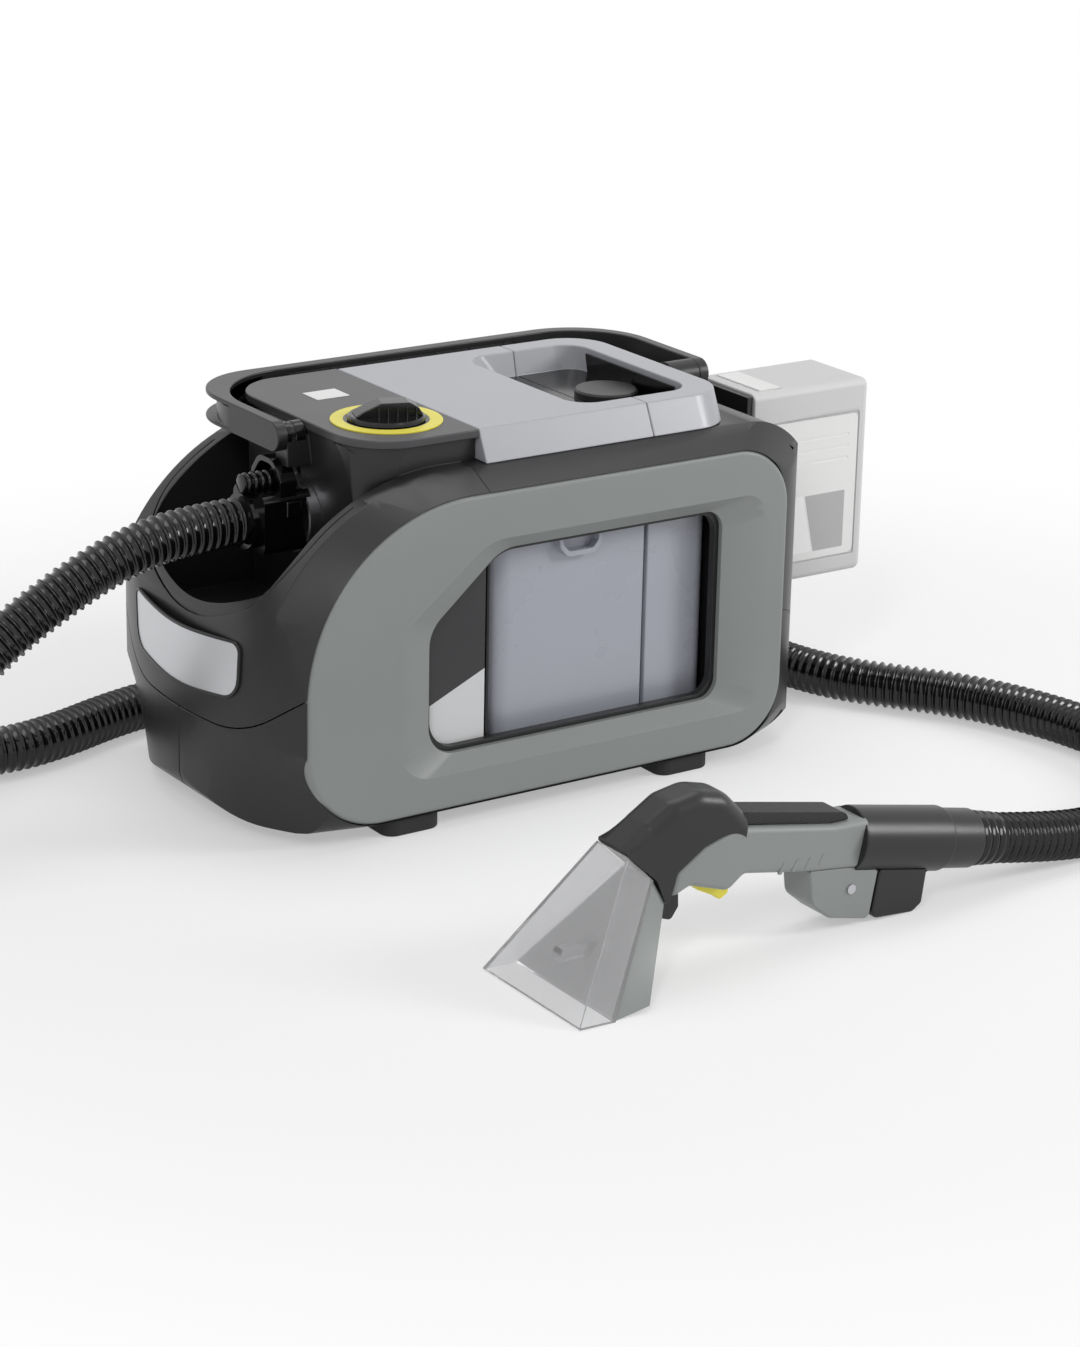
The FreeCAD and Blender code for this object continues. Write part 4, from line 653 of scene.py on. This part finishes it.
class EXTRACTOR_OT_nameplate(bpy.types.Operator):
    """Make the bare brushed plate on the hood's front and the black rim round it"""

    bl_idname = "extractor.nameplate"
    bl_label = "Nameplate"

    def execute(self, context):
        inner = [(-88.5, 170.5, 7), (-85, 123.5, 20), (0, 114.8, 300), (85, 123.5, 20),
                 (88.5, 170.5, 7), (0, 164, 400)]
        outer = [(-91, 173, 9), (-87.5, 121.5, 22), (0, 112.5, 300), (87.5, 121.5, 22),
                 (91, 173, 9), (0, 166.5, 400)]
        plate = slab("bare_plate", "yz", HOOD_FRONT - 1.5, HOOD_FRONT + 0.4, inner)
        settle(bowed(plate), "root", "plate_metal", brushed_plate(), "nameplate")
        rim = slab("plate_rim", "yz", HOOD_FRONT - 2.4, HOOD_FRONT + 0.4, outer)
        hole = slab("hole", "yz", HOOD_FRONT - 4, HOOD_FRONT + 2, inner)
        soften(carve(rim, hole), 0.0007, 2, 60)
        settle(bowed(rim), "root", "black_plastic", casing_black())
        return {"FINISHED"}


# Controls

class EXTRACTOR_OT_panel(bpy.types.Operator):
    """Make the control panel, its blank label and the dial's yellow ring"""

    bl_idname = "extractor.panel"
    bl_label = "Control panel"

    def execute(self, context):
        round_node("control_panel", "panel_moulding", "root", "black_plastic",
                   material_of("Panel black", linear(66, 66, 68), 0.4), 0.0014, 3, clamp=False)
        label = slab("blank_label", "xy", DIAL[2], DIAL[2] + 0.3, block(-120, 30, -88, 56))
        settle(soften(label, 0.0001, 1), "root", "label_film", panel_white())
        ring = turned("dial_band", [(36, 0), (47.2, 0), (47.2, 0.8), (46.8, 1.2), (36.4, 1.2),
                                    (36, 0.8)], DIAL, steps=72)
        settle(ring, "root", "yellow_plastic", trigger_yellow(), "dial_ring")
        well = turned("dial_well", [(0, 0), (36, 0), (36, 0.9), (35, 1.1), (34.2, 0.3), (0, 0.3)],
                      DIAL, steps=72)
        settle(well, "root", "black_gloss", gloss_black())
        return {"FINISHED"}


class EXTRACTOR_OT_knob(bpy.types.Operator):
    """Make the polished mode knob: a skirt, a ridge with sloped ends and grip ribs"""

    bl_idname = "extractor.knob"
    bl_label = "Mode knob"

    def execute(self, context):
        skirt = turned("knob_piece", [(0, 0.9), (32.4, 0.9), (33, 1.6), (32.6, 3.6), (31, 5.0),
                                      (0, 5.6)], DIAL, steps=72)
        dial_x, dial_y, _ = DIAL
        ridge = slab("ridge", "xz", dial_y - 10, dial_y + 10, [
            (-132, 334, 1), (-72, 334, 1), (-76, 341, 5), (-84, 345.9, 5), (-108, 345.9, 6),
            (-124, 339, 5)])
        soften(ridge, 0.0028, 3, 50)
        ribs = [slab("rib", "xy", 333, 342.5, block(x, y - 0.9, x + 2, y + 0.9, 0.6), 3)
                for y in (dial_y - 10, dial_y + 10) for x in range(-112, -79, 8)]
        joined(skirt, ridge, *[soften(rib, 0.0003, 1) for rib in ribs])
        middle = spot(dial_x, dial_y, 0)
        skirt.data.transform(Matrix.Translation(middle) @ Matrix.Rotation(math.radians(-20), 4, "Z")
                             @ Matrix.Translation(-middle))
        settle(skirt, "knob", "black_gloss", gloss_black(), "mode_knob", smooth=35)
        spindle = turned("knob_spindle", [(0, -24), (3.6, -24), (4, -23.6), (4, 1.2), (0, 1.2)],
                         DIAL, steps=24)
        settle(spindle, "knob", "black_gloss", gloss_black())
        return {"FINISHED"}


# Carrying handle

class EXTRACTOR_OT_handle(bpy.types.Operator):
    """Round the folding handle with its overhanging flanges and dress its ribbed grip"""

    bl_idname = "extractor.handle"
    bl_label = "Carrying handle"

    def execute(self, context):
        round_node("carry_handle", "handle_moulding", "handle", "black_plastic", casing_black(),
                   0.0012, 3, 30, False)
        round_node("handle_grip", "grip_pad_piece", "handle", "black_rubber", rubber_black(), 0.0004)
        return {"FINISHED"}


class EXTRACTOR_OT_pivots(bpy.types.Operator):
    """Dress the handle's pins and the ribbed boss behind the front arm"""

    bl_idname = "extractor.pivots"
    bl_label = "Handle pivots"

    def execute(self, context):
        boss = turned("front_boss", [(5, 0), (10.2, 0), (10.8, 0.5), (10.8, 4), (10, 4.6), (10, 8),
                                     (10.8, 8.6), (10.8, 17), (5, 17)], (-180.4, -14, 318), (1, 0, 0))
        settle(boss, "root", "black_plastic", gloss_black())
        round_node("handle_pins", "pin_pair", "root", "steel", plain_steel(), 0.0005)
        return {"FINISHED"}


# Container

class EXTRACTOR_OT_container(bpy.types.Operator):
    """Round the container's two chambers and add the latch tab that the window shows"""

    bl_idname = "extractor.container"
    bl_label = "Container"

    def execute(self, context):
        for node, name in (("waste_tank", "waste_chamber"), ("fresh_tank", "fresh_chamber")):
            round_node(node, name, "container", "tank_plastic", tank_grey(), 0.0015)
        for side, name in SIDES:
            tab = slab(f"{name}_tab", "xz", *span(side, TANK_SIDE, TANK_SIDE + 9), [
                (23, 236, 0), (26, 217, 4), (34, 208, 6), (62, 208, 6), (69, 217, 4), (72, 236, 0),
                (67, 236, 0), (65, 219, 3), (60, 213, 4), (36, 213, 4), (30, 219, 3), (28, 236, 0)])
            settle(soften(tab, 0.0008, 3), "container", "tank_plastic", tank_grey())
            rim = slab(f"{name}_rim", "xz", *span(side, TANK_SIDE, TANK_SIDE + 4),
                       block(-34, 236, 118, 240), 3)
            settle(soften(rim, 0.0006, 2), "container", "tank_plastic", tank_grey())
        return {"FINISHED"}


class EXTRACTOR_OT_lids(bpy.types.Operator):
    """Make the lids, black sheets in their recess that paint the shade of a deep well, and the round
    grip in it
    """

    bl_idname = "extractor.lids"
    bl_label = "Lids"

    def execute(self, context):
        width = context.scene.extractor_sizes.lid_edge
        for node in ("front_lid", "rear_lid"):
            round_node(node, node + "_moulding", node + "_body", "lid_plastic", lid_grey(), width, 3,
                       30, False)
        low, high, half = 307.0, 308.2, 84
        # Gloss black sheets on the recess floor: painted shade, standing in for the dark of a deep
        # opening
        front = slab("front_painted_shade", "xy", low, high, [(85.5, -half, 16), (118.8, -half, 0),
                                                     (118.8, half, 0), (85.5, half, 16)])
        settle(soften(front, 0.0003, 1), "front_lid_body", "black_plastic", gloss_black())
        rear = slab("rear_painted_shade", "xy", low, high, [(119.7, -half, 0), (182, -half, 16),
                                                   (182, half, 16), (119.7, half, 0)])
        settle(soften(rear, 0.0003, 1), "rear_lid_body", "black_plastic", gloss_black())
        # A gloss black sheet on the recess's rear wall, also painted shade of the deep opening
        wall = slab("rear_painted_shade_wall", "yz", 180.8, 182.6, [(-64, 308, 1), (64, 308, 1), (68, 325, 1),
                                                           (-68, 325, 1)])
        settle(soften(wall, 0.0004, 2), "rear_lid_body", "black_plastic", gloss_black())
        grip = turned("grip_disc", [(0, 0), (28, 0), (28, 6), (26.6, 7.6), (24, 8), (0, 7.4)],
                      (150, -10, low), steps=64)
        settle(grip, "rear_lid_body", "black_plastic", casing_black(), "tank_grip")
        return {"FINISHED"}


# Connector

class EXTRACTOR_OT_connector(bpy.types.Operator):
    """Make the hose's connector, socket ring and latch, the spray coupling and its arch"""

    bl_idname = "extractor.connector"
    bl_label = "Hose connector"

    def execute(self, context):
        round_node("hose_connector", "connector_block", "root", "black_gloss", gloss_black(),
                   0.0018, 3)
        ring = turned("socket_dish", [(27.6, 2), (31, -1.2), (33, -0.6), (33.2, 20), (27.6, 20)],
                      (-163, 0, 244.5), (1, 0, 0), steps=72)
        settle(ring, "root", "black_gloss", plain_steel())
        round_node("connector_latch", "latch_key", "hose_latch", "black_plastic", gloss_black(),
                   0.0008)
        profile = [(0, 0), (7, 0), (8.6, 1.2)]
        for step in range(4):
            x = 3 + step * 6.5
            profile += [(7.4, x), (8.6, x + 0.8), (9.2, x + 1.8), (9.2, x + 3.2), (8.6, x + 4.2),
                        (7.4, x + 5)]
        profile += [(7.4, 46), (0, 46)]
        coupling = turned("spray_stub", profile, (-212, 0, 276.5), (1, 0, 0), steps=32)
        settle(coupling, "root", "black_gloss", gloss_black(), "spray_coupling", smooth=50)
        arch = slab("coupling_arch", "yz", -188, -172, [
            (-25, 264, 0), (-25, 281, 5), (-12, 297, 14), (12, 297, 14), (25, 281, 5), (25, 264, 0),
            (20, 264, 0), (20, 279, 4), (9.5, 292, 11), (-9.5, 292, 11), (-20, 279, 4), (-20, 264, 0)])
        settle(soften(arch, 0.0008, 2), "root", "black_gloss", gloss_black())
        return {"FINISHED"}


# Battery

class EXTRACTOR_OT_battery(bpy.types.Operator):
    """Make the battery: its shell, side panels with grooves, blank labels and release key"""

    bl_idname = "extractor.battery"
    bl_label = "Battery"

    def execute(self, context):
        round_node("battery_pack", "battery_shell", "battery", "pale_plastic", battery_grey(),
                   0.0014, 3, clamp=False)
        labels = (
            ("dark", [(352, 194, 1), (398, 194, 1), (398, 140, 1), (364, 140, 1)],
             material_of("Label grey", linear(183, 182, 183), 0.5)),
            ("pale", [(306, 194, 1), (350, 194, 1), (362, 140, 1), (306, 140, 1)],
             material_of("Label white", linear(246, 246, 246), 0.5)))
        for side, name in SIDES:
            panel = slab(f"{name}_panel", "xz", *span(side, BATTERY_FACE - 0.8, BATTERY_FACE),
                         block(303, 133, 410, 266, 6))
            for z in (246, 235, 224):
                carve(panel, slab("groove", "xz", *span(side, BATTERY_FACE - 0.4, BATTERY_FACE + 0.6),
                                  block(314, z, 400, z + 2.2), 3))
            settle(soften(panel, 0.0003, 2), "battery", "pale_plastic", panel_white())
            for shade, corners, film in labels:
                label = slab(f"{name}_{shade}_label", "xz",
                             *span(side, BATTERY_FACE - 0.1, BATTERY_FACE + 0.2), corners, 3)
                settle(soften(label, 0.0001, 1), "battery", "label_film", film)
        key = copy_of("battery_button", "release_key")
        edit(key, "FACE", lambda face: face.normal.z > 0.9)
        bpy.ops.mesh.inset(thickness=0.0035, depth=0.0)
        bpy.ops.transform.translate(value=(0, 0, -0.0007))
        leave_edit()
        settle(soften(key, 0.0005, 2, 40), "battery_release", "pale_plastic", panel_white(),
               "battery_button")
        round_node("rear_dock", "dock_moulding", "root", "black_plastic", casing_black(), 0.0006)
        return {"FINISHED"}


# Hose

def route_curve():
    """The hose's centreline as one smooth spline."""
    bpy.ops.object.select_all(action="DESELECT")
    bpy.ops.curve.primitive_nurbs_path_add()
    line = bpy.context.active_object
    line.name = "hose_line"
    line.data.splines.clear()
    spline = line.data.splines.new("NURBS")
    spline.points.add(len(HOSE_ROUTE) - 1)
    for point, place in zip(spline.points, HOSE_ROUTE):
        point.co = (*spot(*place), 1)
    spline.order_u = 3
    spline.use_endpoint_u = True
    spline.resolution_u = 14
    line.data.resolution_u = 14
    return line


def line_points(line):
    """Points along a curve that has no thickness."""
    mesh = bpy.data.meshes.new_from_object(line)
    points = [vertex.co.copy() for vertex in mesh.vertices]
    bpy.data.meshes.remove(mesh)
    return points


class EXTRACTOR_OT_hose(bpy.types.Operator):
    """Make the ribbed hose: one rib, repeated along the route and bent to it"""

    bl_idname = "extractor.hose"
    bl_label = "Suction hose"

    def execute(self, context):
        sizes = context.scene.extractor_sizes
        line = route_curve()
        points = line_points(line)
        length = sum((b - a).length for a, b in zip(points, points[1:]))
        crest, pitch = sizes.hose_radius, sizes.rib_pitch
        rib_height = 0.0026
        root = crest - rib_height
        profile = [(0.0, root), (0.40, root), (0.50, root + 0.0009), (0.60, crest - 0.0003),
                   (0.68, crest), (0.76, crest - 0.0003), (0.86, root + 0.0009), (0.95, root)]
        bpy.ops.object.select_all(action="DESELECT")
        bpy.ops.mesh.primitive_circle_add(vertices=24, radius=root, fill_type="NOTHING",
                                          rotation=(0, math.pi / 2, 0))
        hose = bpy.context.active_object
        hose.name = "ribbed_hose"
        bpy.ops.object.transform_apply()
        edit(hose, "EDGE")
        spots = profile + [(1.0, root)]
        for (here, before), (there, after) in zip(spots, spots[1:]):
            bpy.ops.mesh.extrude_region_move(
                TRANSFORM_OT_translate={"value": ((there - here) * pitch, 0, 0)})
            if before != after:
                bpy.ops.transform.resize(value=(1, after / before, after / before),
                                         center_override=(there * pitch, 0, 0))
        leave_edit()
        shaped(hose, "ARRAY", count=int(length / pitch), use_merge_vertices=True,
               merge_threshold=0.00005)
        shaped(hose, "CURVE", object=line, deform_axis="POS_X")
        edit(hose, "EDGE")
        bpy.ops.mesh.remove_doubles(threshold=0.00002)
        bpy.ops.mesh.select_all(action="DESELECT")
        bpy.ops.mesh.select_non_manifold()
        bpy.ops.mesh.fill()
        face_out()
        settle(hose, "root", "hose_plastic", hose_black(), "suction_hose", smooth=60)
        bpy.data.objects.remove(line)
        cuff = ribbed_cuff()
        return {"FINISHED"}


def along_sleeve(distance):
    """A place on the middle line of the tool's sleeve, and the line's direction."""
    turn = math.radians(SLEEVE_SLOPE)
    way = (math.cos(turn), 0, -math.sin(turn))
    return (SLEEVE_X + distance * way[0], TOOL_Y, SLEEVE_Z + distance * way[2]), way


def ribbed_cuff():
    """The ribbed end piece between the hose and the tool's sleeve."""
    profile = [(16, 0), (23, 0)]
    for step in range(3):
        x, radius = 3 + step * 8.4, 22.6 - step * 0.5
        profile += [(radius - 2.2, x), (radius - 0.6, x + 1.4), (radius, x + 2.4), (radius, x + 4.6),
                    (radius - 0.6, x + 5.6), (radius - 2.2, x + 7)]
    profile += [(20.4, 28.4), (16, 28.8)]
    cuff = turned("ribbed_cuff", profile, *along_sleeve(SLEEVE_LONG), steps=40)
    return settle(cuff, "root", "black_plastic", hose_black(), "hose_cuff", smooth=50)


# Hand tool

def tool_slab(name, half, corners, steps=8):
    """A slab that reaches as far to both sides of the tool's middle plane."""
    return slab(name, "xz", TOOL_Y - half, TOOL_Y + half, corners, steps)


class EXTRACTOR_OT_sleeve(bpy.types.Operator):
    """Make the tool's black sleeve and round its bracket and its cleat"""

    bl_idname = "extractor.sleeve"
    bl_label = "Tool sleeve"

    def execute(self, context):
        sleeve = turned("stepped_sleeve", [
            (18, 0), (25, 0), (26.2, 0.8), (26.5, 2.5), (26.5, 92), (26.1, 93.4), (24.6, 94.4),
            (24.4, 96), (24.2, SLEEVE_LONG - 2), (23.4, SLEEVE_LONG - 0.4), (22, SLEEVE_LONG),
            (18, SLEEVE_LONG)], *along_sleeve(0), steps=64)
        settle(sleeve, "root", "black_plastic", casing_black(), "tool_sleeve")
        round_node("tool_bracket", "bracket_moulding", "root", "grey_plastic", frame_grey(), 0.0018, 3,
                   clamp=False)
        round_node("tool_cleat", "cleat_moulding", "root", "black_plastic", casing_black(), 0.0018, 3,
                   clamp=False)
        return {"FINISHED"}


class EXTRACTOR_OT_tool_body(bpy.types.Operator):
    """Make the tool's shell and its slanted ribs, the elbow, the grip, the trigger and a latch"""

    bl_idname = "extractor.tool_body"
    bl_label = "Tool body"

    def execute(self, context):
        round_node("tool_shell", "shell_moulding", "root", "grey_plastic", frame_grey(), 0.0012, 2, 35)
        for number in range(4):
            x = -22 + number * 13
            for side, name in SIDES:
                levels = [TOOL_Y + level for level in span(side, 18.6, 20.4)]
                rib = slab(f"shell_rib_{number}_{name}", "xz", *levels, [
                    (x, 62.5, 0.8), (x + 3.4, 61.8, 0.8), (x + 9, 70.5, 0.8), (x + 5.6, 71.2, 0.8)], 3)
                settle(soften(rib, 0.0005, 2), "root", "grey_plastic", frame_grey())
        half, round_above = 20.3, 0.113
        elbow = tool_slab("elbow_moulding", half, [
            (-165, 108, 3), (-143, 126, 26), (-120, 140, 20), (-95, 144.3, 26), (-70, 138, 24),
            (-50, 117, 0), (-54, 100.4, 0), (-63, 109.2, 24), (-93, 100.2, 14), (-118, 84.2, 8),
            (-124.4, 62.2, 0), (-128, 61.4, 0), (-137, 82, 0)])
        edit(elbow, "EDGE", lambda edge: side_edge(elbow, edge, half)
             and elbow.data.vertices[edge.vertices[0]].co.z > round_above)
        bpy.ops.mesh.bevel(offset=0.013, segments=8, affect="EDGES")
        leave_edit()
        settle(soften(elbow, 0.0012, 2, 35), "root", "black_plastic", casing_black(), "tool_elbow",
               smooth=50)
        grip = tool_slab("dotted_grip", 12.8, [(-52, 117.8, 0), (50.5, 97.2, 8), (51, 91.5, 0),
                                               (34, 91.2, 0), (-52, 108.0, 0)])
        settle(soften(grip, 0.0022, 3, 50), "root", "black_rubber", grip_black(), "tool_grip")
        trigger = tool_slab("trigger_key", 7.9, [
            (-97, 75, 3), (-96, 66, 4), (-88, 59, 4), (-74, 52, 8), (-67, 46.6, 4), (-58.5, 52, 3),
            (-62, 60, 5), (-76, 68.5, 5), (-85.5, 79.5, 4)])
        settle(soften(trigger, 0.0018, 3, 50), "trigger", "yellow_plastic", trigger_yellow(),
               "spray_trigger")
        round_node("nozzle_latch", "nozzle_key", "nozzle_release", "black_plastic", casing_black(),
                   0.0008)
        return {"FINISHED"}


def side_edge(piece, edge, half):
    """Whether an edge lies in one of a slab's two flat sides."""
    spots = [piece.data.vertices[index].co for index in edge.vertices]
    level = abs(spots[0].y - spot(0, TOOL_Y, 0).y)
    return abs(spots[0].y - spots[1].y) < 1e-6 and abs(level - half * MM) < 1e-5


class EXTRACTOR_OT_nozzle(bpy.types.Operator):
    """Make the clear nozzle and the grey back that closes it"""

    bl_idname = "extractor.nozzle"
    bl_label = "Nozzle"

    def execute(self, context):
        round_node("nozzle_hood", "clear_hood", "root", "clear_plastic", clear_plastic(), 0.0007, 2, 30)
        round_node("nozzle_back", "back_moulding", "root", "grey_plastic", frame_grey(), 0.002, 3, 35)
        return {"FINISHED"}


class EXTRACTOR_OT_inner_parts(bpy.types.Operator):
    """Give the CAD nodes that stay as they are their materials"""

    bl_idname = "extractor.inner_parts"
    bl_label = "Inner parts"

    def execute(self, context):
        finishes = {
            casing_black: ("selector_switch", "float_cage", "waste_inlet", "fluff_filter",
                           "turbine_housing", "turbine_rotor", "air_duct", "suction_duct",
                           "exhaust_duct", "pump_body", "pump_rotor", "spray_valve"),
            rubber_black: ("lid_seal", "water_line"),
            plain_steel: ("turbine_motor", "motor_bearings", "button_spring", "trigger_spring",
                          "valve_plunger", "screws"),
            battery_grey: ("float_body",),
            board_green: ("control_board",)}
        for material, nodes in finishes.items():
            for node in nodes:
                piece = frame["nodes"][node]
                piece.data.materials.clear()
                piece.data.materials.append(material())
        return {"FINISHED"}


# Stage

def lamp(name, place, target, wide, high, power):
    """A soft rectangular lamp that looks at a point."""
    bpy.ops.object.light_add(type="AREA", location=place)
    light = bpy.context.active_object
    light.name = name
    light.rotation_euler = (Vector(target) - Vector(place)).to_track_quat("-Z", "Y").to_euler()
    light.data.shape = "RECTANGLE"
    light.data.size, light.data.size_y = wide, high
    light.data.energy = power


def seen_or_mirrored(tree):
    """A value of 1 for rays that come from the camera, from a mirror or through glass."""
    path = tree.nodes.new("ShaderNodeLightPath")
    value = path.outputs["Is Camera Ray"]
    for label in ("Is Glossy Ray", "Is Transmission Ray"):
        value = maths(tree, "MAXIMUM", value, path.outputs[label])
    return value


def white_world():
    """A plain white surround: full white where it is seen or mirrored, dimmer as a lamp."""
    world = bpy.data.worlds.new("Studio")
    bpy.context.scene.world = world
    world.use_nodes = True
    nodes, links = world.node_tree.nodes, world.node_tree.links
    back = set_inputs(nodes["Background"], Color=(1, 1, 1, 1))
    strength = set_inputs(nodes.new("ShaderNodeMapRange"), To_Min=0.4, To_Max=1.0)
    links.new(seen_or_mirrored(world.node_tree), strength.inputs["Value"])
    links.new(strength.outputs["Result"], back.inputs["Strength"])


def pale_floor():
    """A pale floor that keeps its shadows near the object and runs out into plain white."""
    material, nodes, links, shader = shader_of("Pale floor")
    set_inputs(shader, Base_Color=(0.98, 0.98, 0.98, 1), Roughness=0.7, Specular_IOR_Level=0.2)
    away = nodes.new("ShaderNodeVectorMath")
    away.operation = "LENGTH"
    links.new(nodes.new("ShaderNodeTexCoord").outputs["Object"], away.inputs[0])
    share = set_inputs(nodes.new("ShaderNodeMapRange"), From_Min=0.55, From_Max=1.2, To_Min=0.4)
    share.interpolation_type = "SMOOTHSTEP"
    links.new(away.outputs["Value"], share.inputs["Value"])
    tree = material.node_tree
    white = maths(tree, "MULTIPLY", share.outputs["Result"], seen_or_mirrored(tree))
    glow = set_inputs(nodes.new("ShaderNodeEmission"), Strength=1.0)
    both = nodes.new("ShaderNodeMixShader")
    links.new(white, both.inputs[0])
    links.new(shader.outputs["BSDF"], both.inputs[1])
    links.new(glow.outputs["Emission"], both.inputs[2])
    links.new(both.outputs["Shader"], nodes["Material Output"].inputs["Surface"])
    return material


class EXTRACTOR_OT_stage(bpy.types.Operator):
    """Lay the pale floor, hang the soft lamps and set the camera of the photograph"""

    bl_idname = "extractor.stage"
    bl_label = "Stage"

    def execute(self, context):
        bpy.ops.object.select_all(action="DESELECT")
        bpy.ops.mesh.primitive_plane_add(size=40, location=(0, 0, 0))
        floor = bpy.context.active_object
        floor.name = "floor"
        floor.data.materials.append(pale_floor())
        white_world()
        lamp("key_lamp", (-2.1, -2.0, 2.4), (0, 0.1, 0.1), 0.6, 1.3, 24)
        lamp("top_lamp", (0.3, 0.6, 2.9), (0, 0.1, 0), 2.2, 1.4, 20)
        lamp("side_lamp", (2.4, -1.9, 1.6), (0, 0.1, 0.1), 0.8, 1.2, 42)
        sizes = context.scene.extractor_sizes
        bpy.ops.object.camera_add(location=spot(*CAMERA_PLACE))
        camera = bpy.context.active_object
        turn = (Matrix.Rotation(sizes.camera_azimuth, 3, "Z")
                @ Matrix.Rotation(math.pi / 2 - sizes.camera_elevation, 3, "X")
                @ Matrix.Rotation(sizes.camera_roll, 3, "Z"))
        camera.rotation_euler = turn.to_euler()
        camera.data.lens = 95.0
        camera.data.sensor_width = 36.0
        camera.data.clip_end = 60.0
        context.scene.camera = camera
        context.scene.view_settings.view_transform = "Standard"
        return {"FINISHED"}


PIECES = [
    EXTRACTOR_OT_hose, EXTRACTOR_OT_casing, EXTRACTOR_OT_side_frames, EXTRACTOR_OT_feet,
    EXTRACTOR_OT_nameplate, EXTRACTOR_OT_panel, EXTRACTOR_OT_knob, EXTRACTOR_OT_handle,
    EXTRACTOR_OT_pivots, EXTRACTOR_OT_container, EXTRACTOR_OT_lids, EXTRACTOR_OT_connector,
    EXTRACTOR_OT_battery, EXTRACTOR_OT_sleeve, EXTRACTOR_OT_tool_body, EXTRACTOR_OT_nozzle,
    EXTRACTOR_OT_inner_parts, EXTRACTOR_OT_stage]


class EXTRACTOR_PT_sidebar(bpy.types.Panel):
    """Lists the pieces in the 3D view's sidebar"""

    bl_idname = "EXTRACTOR_PT_sidebar"
    bl_label = "Spot extractor"
    bl_space_type = "VIEW_3D"
    bl_region_type = "UI"
    bl_category = "Extractor"

    def draw(self, context):
        for piece in PIECES:
            self.layout.operator(piece.bl_idname)


CLASSES = [EXTRACTOR_PG_colours, EXTRACTOR_PG_sizes, *PIECES, EXTRACTOR_PT_sidebar]


def register():
    for kind in CLASSES:
        bpy.utils.register_class(kind)
    bpy.types.Scene.extractor_colours = bpy.props.PointerProperty(type=EXTRACTOR_PG_colours)
    bpy.types.Scene.extractor_sizes = bpy.props.PointerProperty(type=EXTRACTOR_PG_sizes)


def unregister():
    del bpy.types.Scene.extractor_sizes
    del bpy.types.Scene.extractor_colours
    for kind in reversed(CLASSES):
        bpy.utils.unregister_class(kind)


def main():
    """Register the add-on and make every piece in order."""
    register()
    for piece in PIECES:
        group, name = piece.bl_idname.split(".")
        getattr(getattr(bpy.ops, group), name)()


if __name__ == "__main__":
    main()
